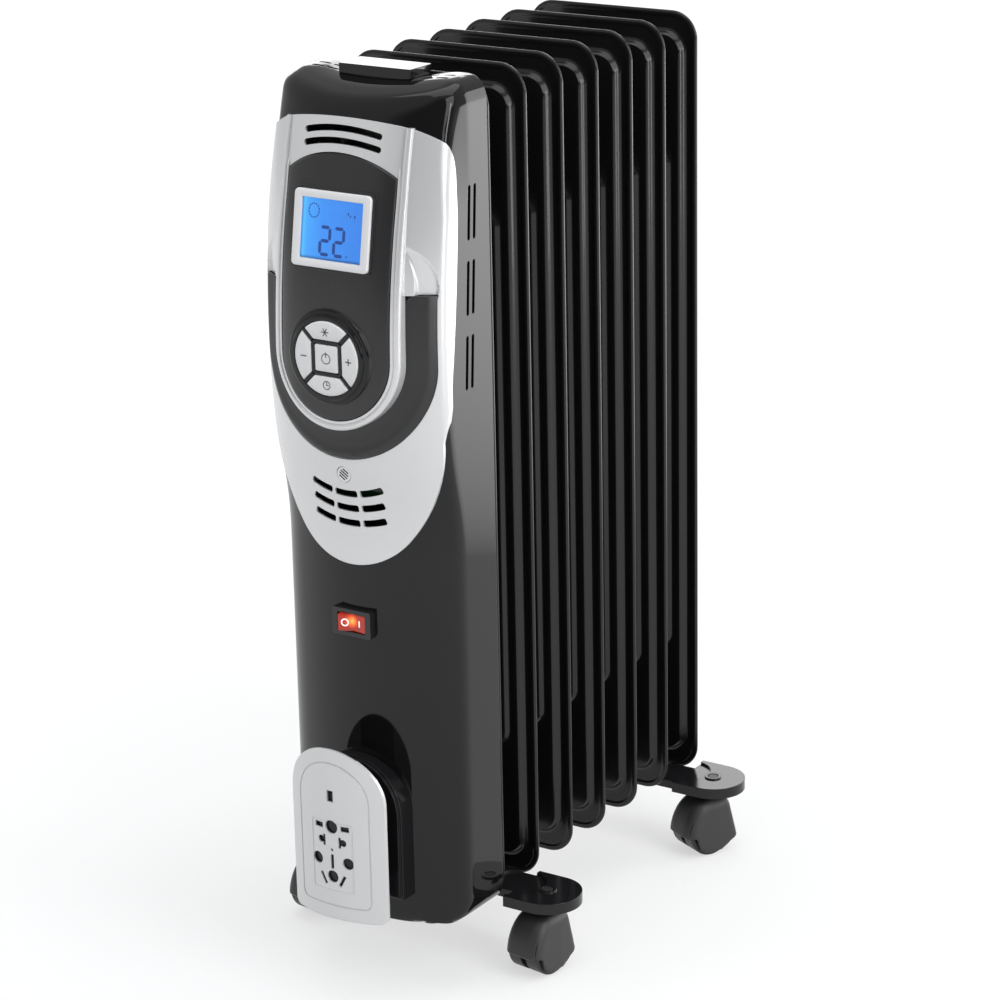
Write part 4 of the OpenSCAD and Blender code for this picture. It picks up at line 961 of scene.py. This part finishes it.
for face in panel.data.polygons:
    from_keys = math.hypot(face.center.x, face.center.z - KEY_HEIGHT * MM)
    face.material_index = int(from_keys < (RING_OUTER + 0.3) * MM)


# ---- Display --------------------------------------------------------------------------
# A bright silver bezel holds a clear window over a blue backlit cell. The light comes in
# from its left edge, and the figures are dark segments. They show a set temperature.
GLASS_WIDE = 48.0
GLASS_TALL = 39.0
INK_FRONT, INK_BACK = 0.22, 0.5
FIGURE_WIDE, FIGURE_TALL, FIGURE_LOW = 7.4, 17.6, -16.0
# less width, less height, corner radius and depth of the bezel's section
BEZEL_SECTION = ((0, 0, 3.2, 3.0), (0, 0, 3.2, -0.35), (0.5, 0.5, 2.8, -0.85),
                 (1.3, 1.3, 2.2, -1.0), (10.4, 9.4, 1.2, -1.0), (11.4, 10.4, 0.9, -0.75),
                 (12.4, 11.4, 0.8, 2.6), (0.2, 0.2, 3.0, 3.0))


def add_display_piece(name, bm, material, slot, *nodes, crease=35):
    """Adds a piece drawn round the display's middle, leaning back with it."""
    piece = add_piece(name, finished_mesh(bm, name, crease), material, "heater", slot, *nodes)
    piece.location = (0, DISPLAY_FRONT * MM, DISPLAY_HEIGHT * MM)
    piece.rotation_euler = (DISPLAY_LEAN, 0, 0)


def colour_ramp(tree, along, first, *stops):
    """A colour that changes along a value, by stops of (position, colour) in rising order."""
    ramp = add_node(tree, "ValToRGB", {"Fac": along})
    elements = ramp.color_ramp.elements
    elements[0].position, elements[0].color = first
    elements[1].position, elements[1].color = stops[-1]
    for position, colour in stops[:-1]:
        elements.new(position).color = colour
    return ramp.outputs["Color"]


def mottled(tree, size, least, most):
    """A level that wavers between two values over the surface."""
    noise = add_node(tree, "TexNoise", {"Scale": size, "Vector": object_place(tree)})
    return add_node(tree, "MapRange", {
        "Value": noise.outputs["Fac"], "To Min": least, "To Max": most}).outputs["Result"]


def lit_plastic(material, colour, strength, base, rough):
    """Ends a material as clear plastic with a light behind it."""
    tree = material.node_tree
    shader = add_node(tree, "BsdfPrincipled", {
        "Base Color": base, "Roughness": rough, "Emission Color": colour,
        "Emission Strength": strength})
    add_node(tree, "OutputMaterial", {"Surface": shader.outputs[0]})


def flat_bar(bm, x0, z0, x1, z1, width):
    """One dark segment of the display, with pointed ends."""
    along = Vector((x1 - x0, z1 - z0)).normalized()
    beside = Vector((-along.y, along.x)) * width / 2
    a, b = Vector((x0, z0)), Vector((x1, z1))
    tip = along * width / 2
    outline = [a, a + tip + beside, b - tip + beside, b, b - tip - beside, a + tip - beside]
    prism(bm, outline, INK_FRONT, INK_BACK)


def figure_two(bm, left, width=2.2, gap=0.35):
    """A two made of five of the seven segments, drawn from its left edge."""
    for ends in (((0, 2), (1, 2)), ((1, 2), (1, 1)), ((0, 1), (1, 1)), ((0, 1), (0, 0)),
                 ((0, 0), (1, 0))):
        start, end = (Vector((left + x * FIGURE_WIDE, FIGURE_LOW + z * FIGURE_TALL / 2))
                      for x, z in ends)
        run = (end - start).normalized() * gap
        flat_bar(bm, *(start + run), *(end - run), width)


bright = finish("bright bezel lacquer", (0.83, 0.83, 0.84), 0.3, grain_size=1500.0,
                grain_depth=0.004, tone_change=0.04, edge=0.4, Coat_Weight=0.4)
bm = bmesh.new()
skin_rings(bm, [rounded_ring(BEZEL_WIDE - w, BEZEL_TALL - h, radius, y)
                for w, h, radius, y in BEZEL_SECTION], close_ends=False)
add_display_piece("display_bezel", bm, bright, "bezel_silver", "lcd_bezel", crease=50)

# lit cell: brighter towards its left edge, with painted shadows along its very left edge and over
# the bezel's lower lip
lit_cell = bpy.data.materials.new("lit display cell")
tree = shader_tree(lit_cell)
x, _, z = add_node(tree, "SeparateXYZ", {0: object_place(tree)}).outputs
across_cell = add_node(tree, "MapRange", {
    "Value": x, "From Min": -GLASS_WIDE / 2 * MM, "From Max": GLASS_WIDE / 2 * MM})
# the first stop is a painted shadow of the bezel's left lip; after it the backlight fades from
# the left edge
blue = colour_ramp(tree, across_cell.outputs["Result"],
                   (0.0, (0.03, 0.14, 0.48, 1)), (0.035, (0.09, 0.50, 0.95, 1)),
                   (0.10, (0.06, 0.36, 0.92, 1)), (0.35, (0.045, 0.27, 0.85, 1)),
                   (1.0, (0.038, 0.215, 0.76, 1)))
# painted shadow: the glow is cut to a third along the bottom 2.2 mm, under the bezel's lower lip
painted_lower_shadow = add_node(tree, "MapRange", {
    "Value": z, "From Min": -GLASS_TALL / 2 * MM, "From Max": (-GLASS_TALL / 2 + 2.2) * MM,
    "To Min": 0.35})
level = math_node(tree, "MULTIPLY", painted_lower_shadow.outputs["Result"], mottled(tree, 160.0, 0.94, 1.06))
lit_plastic(lit_cell, blue, level, (0.01, 0.03, 0.08, 1), 0.12)
for name, less, front, back, material, slot, node in (
        ("display_window", 0.2, 0.35, 1.5, lit_cell, "window_blue", "lcd_window"),
        ("display_cell", 2.0, 1.7, 8.0,
         finish("display cell frame", (0.05, 0.07, 0.1), 0.5, tone_change=0.2),
         "display_blue", "lcd_module")):
    bm = bmesh.new()
    skin_rings(bm, [rounded_ring(GLASS_WIDE - less, GLASS_TALL - less, 0.8, y)
                    for y in (front, back)])
    add_display_piece(name, bm, material, slot, node)

bm = bmesh.new()
for left in (-8.6, 2.4):
    figure_two(bm, left)
# a ring of fourteen short bars, three upright bars beside it, and one after the figures
for step in range(14):
    a, b = (2 * math.pi * (step + k) / 14 for k in (0.08, 0.92))
    flat_bar(bm, -14.6 + 4.1 * math.cos(a), 11.6 + 4.6 * math.sin(a),
             -14.6 + 4.1 * math.cos(b), 11.6 + 4.6 * math.sin(b), 0.8)
for x, z, tall in ((12.4, 10.6, 2.2), (14.2, 9.6, 1.6), (17.6, 9.2, 2.4), (12.6, -16.6, 1.6)):
    flat_bar(bm, x, z, x, z + tall, 0.9)
segment_ink = finish("display segment ink", (0.006, 0.035, 0.16), 0.4, edge=0, tone_change=0.2,
                     Emission_Color=(0.008, 0.06, 0.28, 1), Emission_Strength=0.5)
add_display_piece("display_figures", bm, segment_ink, "window_blue")


# ---- Keys -----------------------------------------------------------------------------
# Five pearl white keys moulded in one colour, four round a square one, with softly rounded
# faces and printed marks. Each has a stem that presses a small switch on the board.
KEY_FACE = POD_FRONT - 4.0
KEY_THICK = 3.8
KEY_REACH = 17.8
STEM_REACH = 17.5
STEM_RADIUS = 2.5
STEM_END = -158.4
SIDE_KEY_ARC = 25.0
SIDE_KEY_HALF = 9.9
SIDE_KEY_LOW = 12.2
SIDE_KEY_CORNER = math.degrees(math.atan2(18.77, 16.51))
SQUARE_HALF = 9.0
SQUARE_CORNER = 1.2
MARK_FRONT = KEY_FACE - 0.03
MARK_BACK = KEY_FACE + 0.3


def inset_ring(outline, inset, y):
    """A convex outline moved inwards by an equal distance, as a ring at a depth."""
    points = [Vector(p) for p in outline]
    centre = sum(points, Vector((0, 0))) / len(points)
    ring = []
    for before, here, after in zip(points[-1:] + points[:-1], points, points[1:] + points[:1]):
        normals = []
        for a, b in ((before, here), (here, after)):
            run = (b - a).normalized()
            normal = Vector((-run.y, run.x))
            normals.append(normal if normal.dot(centre - here) > 0 else -normal)
        inward = (normals[0] + normals[1]).normalized()
        moved = here + inward * inset / max(inward.dot(normals[0]), 0.5)
        ring.append((moved.x, y, moved.y + KEY_HEIGHT))
    return ring


def turned(points, degrees):
    """Points of (across, up) turned about the middle."""
    a = math.radians(degrees)
    return [(x * math.cos(a) - z * math.sin(a), x * math.sin(a) + z * math.cos(a))
            for x, z in points]


def bar_outline(x, z, wide, tall, degrees=0.0):
    """A straight bar of a mark, about its own middle."""
    corners = [(u * wide / 2, v * tall / 2) for u, v in ((1, 1), (-1, 1), (-1, -1), (1, -1))]
    return [(x + a, z + b) for a, b in turned(corners, degrees)]


def ring_mark(bm, x, z, radius, width, front, back, steps=28):
    """A flat printed ring, built as one short bar after another."""
    inner, outer = radius - width / 2, radius + width / 2
    for k in range(steps):
        a, b = (2 * math.pi * (k + e) / steps for e in (0, 1))
        prism(bm, [(x + r * math.cos(t), z + r * math.sin(t)) for r, t in
                   ((inner, a), (outer, a), (outer, b), (inner, b))], front, back)


def add_marks(shape, marks, ink):
    """Adds printed marks to a mesh, flat and in an ink of their own."""
    printed = bpy.data.meshes.new("marks")
    marks.to_mesh(printed)
    marks.free()
    bm = bmesh.new()
    bm.from_mesh(shape)
    bm.from_mesh(printed)
    bpy.data.meshes.remove(printed)
    bm.faces.ensure_lookup_table()
    for face in bm.faces[len(shape.polygons):]:
        face.material_index = 1
        face.smooth = False
    bm.to_mesh(shape)
    bm.free()
    shape.materials.append(ink)


side_key = [(-SIDE_KEY_HALF, SIDE_KEY_LOW), (SIDE_KEY_HALF, SIDE_KEY_LOW)]
side_key += arc_points(0, 0, SIDE_KEY_ARC, SIDE_KEY_CORNER, 180 - SIDE_KEY_CORNER, 17)
square_key = [(x, z) for x, _, z in rounded_ring(2 * SQUARE_HALF, 2 * SQUARE_HALF,
                                                 SQUARE_CORNER, 0, per_corner=4)]
# name, outline, turn, side and height of its middle in key reaches, bars of the mark as
# across, up, wide, tall and turn, and the radius of the mark's ring
keys = (("mode", side_key, 0, 0, 1, [(0, 0, 5.8, 0.8, t) for t in (0, 60, 120)], None),
        ("minus", side_key, 90, -1, 0, [(0, 0, 4.6, 0.9, 0)], None),
        ("power", square_key, 0, 0, 0, [(0, 2.6, 0.8, 3.6, 0)], 3.3),
        ("plus", side_key, 270, 1, 0, [(0, 0, 4.6, 0.9, 0), (0, 0, 0.9, 4.6, 0)], None),
        ("timer", side_key, 180, 0, -1, [(0, 1.0, 0.7, 2.2, 0), (0.7, 0, 1.8, 0.7, 0)], 2.7))
pearl = finish("pearl key plastic", (0.82, 0.82, 0.825), 0.32, grain_size=1800.0,
               grain_depth=0.004, cloud_size=30.0, tone_change=0.05, edge=0.35, Coat_Weight=0.3)
print_ink = finish("grey print", (0.16, 0.16, 0.165), 0.5, edge=0, tone_change=0.25)
for name, outline, degrees, side, up, bars, ring_radius in keys:
    edge = turned(outline, degrees)
    rings = [inset_ring(edge, inset, KEY_FACE + y) for inset, y in
             ((0, KEY_THICK), (0, 1.0), (0.1, 0.6), (0.35, 0.28), (0.8, 0.08))]
    # the face is closed by a smaller copy of the last ring
    last = [Vector(point) for point in inset_ring(edge, 0.8, KEY_FACE)]
    middle = sum(last, Vector()) / len(last)
    rings.append([middle + (point - middle) * 0.6 for point in last])
    bm = bmesh.new()
    skin_rings(bm, rings)
    lathe(bm, [(STEM_RADIUS, KEY_FACE + 3), (STEM_RADIUS, STEM_END)],
          (side * STEM_REACH, 0, KEY_HEIGHT + up * STEM_REACH), steps=24)
    key = add_piece("pearl_key_" + name, finished_mesh(bm, "key_" + name, crease=50), pearl,
                    "key_%s_body" % name, "key_pearl", "key_" + name)
    mark_x, mark_z = side * KEY_REACH, KEY_HEIGHT + up * KEY_REACH
    marks = bmesh.new()
    for x, z, wide, tall, turn in bars:
        prism(marks, bar_outline(mark_x + x, mark_z + z, wide, tall, turn), MARK_FRONT,
              MARK_BACK)
    if ring_radius:
        ring_mark(marks, mark_x, mark_z, ring_radius, 0.7, MARK_FRONT, MARK_BACK)
    add_marks(key.data, marks, print_ink)


# ---- Chime grille ---------------------------------------------------------------------
# A small slitted disc in the fascia's silver, snapped in over the chime on the board.
# Its four slits slope down to the right.
DISC_RADIUS = 5.5
SLIT_HALF = 0.5
SLIT_LEAN = -32
disc_y = front_at(0.0, CHIME_HEIGHT, FASCIA_THICK - 0.2)[0]
bm = bmesh.new()
lathe(bm, [(DISC_RADIUS, disc_y + 1.0), (DISC_RADIUS, disc_y + 0.15),
           (DISC_RADIUS - 0.2, disc_y)], (0, 0, CHIME_HEIGHT))
grille = add_piece("chime_disc", finished_mesh(bm, "grille"), silver, "heater", "grille_black",
                   "chime_grille")
slits = []
for height, reach in ((-2.7, 2.6), (-0.9, 3.6), (0.9, 3.6), (2.7, 2.6)):
    slit = [(u * reach, height + v * SLIT_HALF) for u, v in ((1, 1), (-1, 1), (-1, -1), (1, -1))]
    slits.append([(x, CHIME_HEIGHT + z) for x, z in turned(slit, SLIT_LEAN)])
carve(grille, through(*slits))


# ---- Mains switch ---------------------------------------------------------------------
# A snap-in rocker switch: a black frame, and a translucent red rocker with a lamp behind
# it, so that its middle glows yellow. Its two ends carry the usual ring and bar.
ROCKER_Y = -160.8
ROCKER_HEIGHT = 266.0
ROCKER_REST = math.radians(8)
MARK_ACROSS, MARK_OUT = 5.4, -6.25
MARK_SLOPE = math.atan2(1.2, 5)
# plan of the rocker: two faces that meet in a shallow valley, and a narrower back
ROCKER_PLAN = ((-10.1, -7.3), (-9.3, -7.15), (-5, -6.1), (0, -4.9), (5, -6.1), (9.3, -7.15),
               (10.1, -7.3), (10.0, -4), (9.7, -0.5), (3, 4), (-3, 4), (-9.7, -0.5), (-10.0, -4))

switch_black = finish("black switch moulding", (0.012, 0.012, 0.013), 0.3, grain_size=1500.0,
                      grain_depth=0.006, tone_change=0.2, edge=0.4)
dress(switch_black, "switch_frame")

lit_rocker = bpy.data.materials.new("lit translucent red")
tree = shader_tree(lit_rocker)
stretch = add_node(tree, "Mapping", {
    "Vector": object_place(tree), "Location": (-0.02, 0.0, -0.18), "Scale": (165, 60, 170)})
from_lamp = add_node(tree, "VectorMath", {0: stretch.outputs[0]}, operation="LENGTH")
lamp_red = colour_ramp(tree, from_lamp.outputs["Value"],
                       (0.2, (1.0, 0.72, 0.2, 1)), (0.42, (1.0, 0.33, 0.03, 1)),
                       (0.68, (0.66, 0.075, 0.015, 1)), (1.0, (0.16, 0.012, 0.006, 1)))
lit_plastic(lit_rocker, lamp_red, mottled(tree, 260.0, 0.75, 1.15), (0.35, 0.02, 0.01, 1), 0.15)
lit_white = finish("lit white mark", (0.8, 0.7, 0.68), 0.4, edge=0,
                   Emission_Color=(1.0, 0.72, 0.68, 1), Emission_Strength=0.75)

at_rest = Matrix.Rotation(ROCKER_REST, 3, "Z")
bm = bmesh.new()
skin_rings(bm, [[at_rest @ Vector((x * shrink, y * shrink, height)) for x, y in ROCKER_PLAN]
                for height, shrink in ((-6, 0.96), (-5.5, 1), (5.5, 1), (6, 0.96))])
rocker = add_piece("lit_rocker", finished_mesh(bm, "rocker", crease=30), lit_rocker, "rocker",
                   "rocker_red", "switch_rocker")
rocker.location = (0, ROCKER_Y * MM, ROCKER_HEIGHT * MM)
marks = bmesh.new()
for side in (-1, 1):
    first = len(marks.verts)
    if side < 0:
        ring_mark(marks, 0, 0, 2.3, 0.95, -0.12, 0.2, steps=24)
    else:
        prism(marks, bar_outline(0, 0, 1.0, 4.4), -0.12, 0.2)
    marks.verts.ensure_lookup_table()
    # each mark lies on its own sloping face
    centre = at_rest @ Vector((side * MARK_ACROSS, MARK_OUT, 0.0)) * MM
    lean = Matrix.Rotation(ROCKER_REST - side * MARK_SLOPE, 4, "Z")
    bmesh.ops.transform(marks, matrix=Matrix.Translation(centre) @ lean,
                        verts=marks.verts[first:])
add_marks(rocker.data, marks, lit_white)


# ---- Cord wrap ------------------------------------------------------------------------
# A gloss black spool stands off the housing, and a bowed silver plate closes it in front.
# The plate has holes that park the plug, a fine outline groove and a shallow field.
PLATE_FRONT = -198.3
PLATE_ARC = 80.0
HOLES_HALF = 20.0
plate_silver = finish("silver plate lacquer", (0.70, 0.70, 0.705), 0.3, grain_size=1600.0,
                      grain_depth=0.006, cloud_size=8.0, tone_change=0.05, edge=0.8,
                      Metallic=0.25, Coat_Weight=0.4, Coat_Roughness=0.15)
# painted shade: the walls of the plug holes are painted near black, from a little behind the
# plate's bowed front
tree = plate_silver.node_tree
x, y, _ = add_node(tree, "SeparateXYZ", {0: object_place(tree)}).outputs
bow = math_node(tree, "MULTIPLY", x, -1 / (2 * PLATE_ARC * MM))
deep = add_node(tree, "MapRange", {
    "Value": math_node(tree, "MULTIPLY_ADD", x, bow, y),
    "From Min": (PLATE_FRONT + 1.2) * MM, "From Max": (PLATE_FRONT + 2.1) * MM})
near_middle = math_node(tree, "COMPARE", x, 0.0, HOLES_HALF * MM)
hole_shade_mask = math_node(tree, "MULTIPLY", deep.outputs["Result"], near_middle)
shader = next(node for node in tree.nodes if node.type == "BSDF_PRINCIPLED")
plate_tone = shader.inputs["Base Color"].links[0].from_socket
# painted shade: near black in place of the silver inside the holes
painted_hole_shade = add_node(tree, "Mix", {
    "Factor": hole_shade_mask, 6: plate_tone, 7: (0.012, 0.012, 0.013, 1)}, data_type="RGBA")
tree.links.new(painted_hole_shade.outputs[2], shader.inputs["Base Color"])
dress(plate_silver, "cord_plate")
dress(finish("gloss black spool", (0.010, 0.010, 0.011), 0.1, grain_size=120.0,
             grain_depth=0.006, tone_change=0.15, edge=1.2, IOR=1.36), "cord_spool")
dress(switch_black, "cord_gland")


# ---- Grip block -----------------------------------------------------------------------
# A short block in gloss black plastic that fills the hollow between the housing's
# shoulders, so that the heater can be pulled along by its top.
dress(gloss_black, "carry_handle")


# ---- Brackets -------------------------------------------------------------------------
# Two pressed steel decks in semi-gloss black enamel, each clamped under a header by a
# zinc plated U-bolt with wing nuts. Their round lobes hold the castors' stems. The
# filler cap at the back has the same enamel.
dress(finish("bracket enamel", (0.011, 0.011, 0.012), 0.16, grain_size=500.0,
             grain_depth=0.012, cloud_size=12.0, tone_change=0.2, edge=0.9, IOR=1.4),
      "front_bracket", "rear_bracket", "filler_cap")
dress(finish("bright zinc plate", (0.56, 0.57, 0.58), 0.28, grain_size=700.0,
             grain_depth=0.02, cloud_size=30.0, tone_change=0.2, Metallic=1.0),
      "front_u_bolt", "rear_u_bolt", "front_wing_nuts", "rear_wing_nuts", "housing_screws")


# ---- Castors --------------------------------------------------------------------------
# Twin-wheel castors moulded in matt dark grey nylon: a domed hood with flat cheeks that
# hide the wheels, open low in front, on a steel stem that swivels in the bracket.
HOOD_HALF = 15.0
WHEEL_RADIUS = 18.5
WELL_RADIUS = 19.7
WELL_IN, WELL_OUT = 2.0, 12.8
TRAIL = 10.0
STEM_X = 94.0
STEM_Y = 116.5
# corner, side and end that it stands at, and how far it is swivelled
CASTORS = (("fr", 1, -1, -8), ("fl", -1, -1, -8), ("rr", 1, 1, -26), ("rl", -1, 1, 8))


def hood_distance(x, y, z):
    """Roughly how far a point lies outside the hood, from the floor under its stem."""
    side = np.abs(x)
    dome = (np.sqrt((side / 17.2) ** 5 + np.square((y + 9) / 23.8)
                    + np.square((z - 15) / 30)) - 1) * 20
    crown = z - 43.6
    cheek = (side - HOOD_HALF + np.maximum(z - 20, 0) * 0.03 + np.maximum(y + 4, 0) * 0.05
             + np.maximum(z - 38.5, 0) * 0.6)
    back = (y - 13.2) * math.cos(0.24) + (z - 11) * math.sin(0.24)
    under = np.interp(y, [-34, -24.5, -21, -16, -9, -2, 4, 14],
                      [17, 15.5, 6, 2.6, 1.6, 2.4, 5.6, 11.4]) - z
    behind = np.sqrt((side / 16.6) ** 5 + np.square(np.maximum(z - 22, 0) / 22.5)) * 20 - 20
    behind = np.clip(np.maximum(behind, crown), -30, 40)
    form = rounded_max(np.where(y > -9, behind, np.maximum(dome, crown)), cheek, 0.9)
    form = rounded_max(form, back, 3.0)
    return rounded_max(form, under, 1.0)


def hood_skin():
    """The hood's closed outer form, cast from a point inside it."""
    lifts = np.radians(joined_steps((-90, 14), (-30, 43), (89, 0)))
    turns = np.radians(np.linspace(0, 360, 97))[:-1]
    directions = np.array([ray(turn, lift) for lift in lifts for turn in turns])
    core = np.tile((0.0, -8.0, 20.0), (len(directions), 1))
    points = cast_out(core, directions, hood_distance, 60.0)
    bm = bmesh.new()
    # the first ring, straight down, is one point and is left out
    skin_rings(bm, points.reshape(len(lifts), len(turns), 3)[1:])
    return bm


def hood_wells():
    """Room for the two wheels, with a web left between them."""
    bm = bmesh.new()
    profile = arc_points(-TRAIL, WHEEL_RADIUS, WELL_RADIUS, 0, 180, 33)
    profile += [(-TRAIL - WELL_RADIUS, -10), (-TRAIL + WELL_RADIUS, -10)]
    for side in (-1, 1):
        skin_rings(bm, [[(x, y, z) for y, z in profile]
                        for x in (side * WELL_IN, side * WELL_OUT)])
    return bm


def hood_stem(bm):
    """The collar and the steel stem, turned round the swivel's axis."""
    angles = [2 * math.pi * k / 40 for k in range(40)]
    profile = ((9.6, 30), (9.6, 44.6), (9.0, 47.2), (8.4, 47.6), (4.0, 47.6), (4.0, 56.2),
               (3.4, 56.8))
    skin_rings(bm, [[(r * math.cos(a), r * math.sin(a), z) for a in angles] for r, z in profile])


nylon = finish("matt castor nylon", (0.026, 0.026, 0.027), 0.46, grain_size=1300.0,
               grain_depth=0.02, cloud_size=25.0, tone_change=0.15, rough_change=0.1, edge=0.6)
tread = finish("castor tread nylon", (0.009, 0.009, 0.0095), 0.42, grain_size=1300.0,
               grain_depth=0.02, tone_change=0.2, edge=0.6)
# one hood is carved as a pattern, and the four castors take copies of it
pattern = bpy.data.objects.new("hood", finished_mesh(hood_skin(), "hood", crease=40))
bpy.context.scene.collection.objects.link(pattern)
carve(pattern, hood_wells(), crease=40)
mouth = bmesh.new()
bm_box(mouth, (-16, -60, -1), (16, -23.5, 15))
carve(pattern, mouth, crease=40)
add_forms(pattern, hood_stem, "hood", crease=40)
for corner, side, end, turn in CASTORS:
    hood = add_piece("castor_hood_" + corner, pattern.data.copy(), nylon, "castor_" + corner,
                     "castor_grey", "hood_" + corner)
    hood.location = (side * STEM_X * MM, FINS_MIDDLE_Y + end * STEM_Y * MM, 0)
    hood.rotation_euler = (0, 0, math.radians(turn))
    dress(tread, "wheels_" + corner)
bpy.data.objects.remove(pattern)


# ---- Inside ---------------------------------------------------------------------------
# Hidden parts in their own materials: the sheathed element with its brass flange and red
# gasket, the phenolic cut-out, the aluminium heat shield, and the two circuit boards.
dress(finish("heat-tinted steel sheath", (0.30, 0.25, 0.20), 0.35, tone_change=0.5,
             Metallic=1.0), "heating_element")
dress(finish("turned brass", (0.60, 0.44, 0.20), 0.25, tone_change=0.2, Metallic=1.0),
      "element_flange")
dress(finish("red silicone rubber", (0.36, 0.05, 0.03), 0.6), "element_gasket")
dress(finish("cream phenolic", (0.55, 0.50, 0.38), 0.5), "thermal_cutout")
dress(finish("mill finish aluminium", (0.60, 0.61, 0.62), 0.35, grain_size=300.0,
             grain_depth=0.02, tone_change=0.15, Metallic=1.0), "heat_shield")
dress(finish("green solder mask", (0.015, 0.10, 0.04), 0.3, grain_size=700.0,
             grain_depth=0.03, tone_change=0.3), "control_board", "power_board")
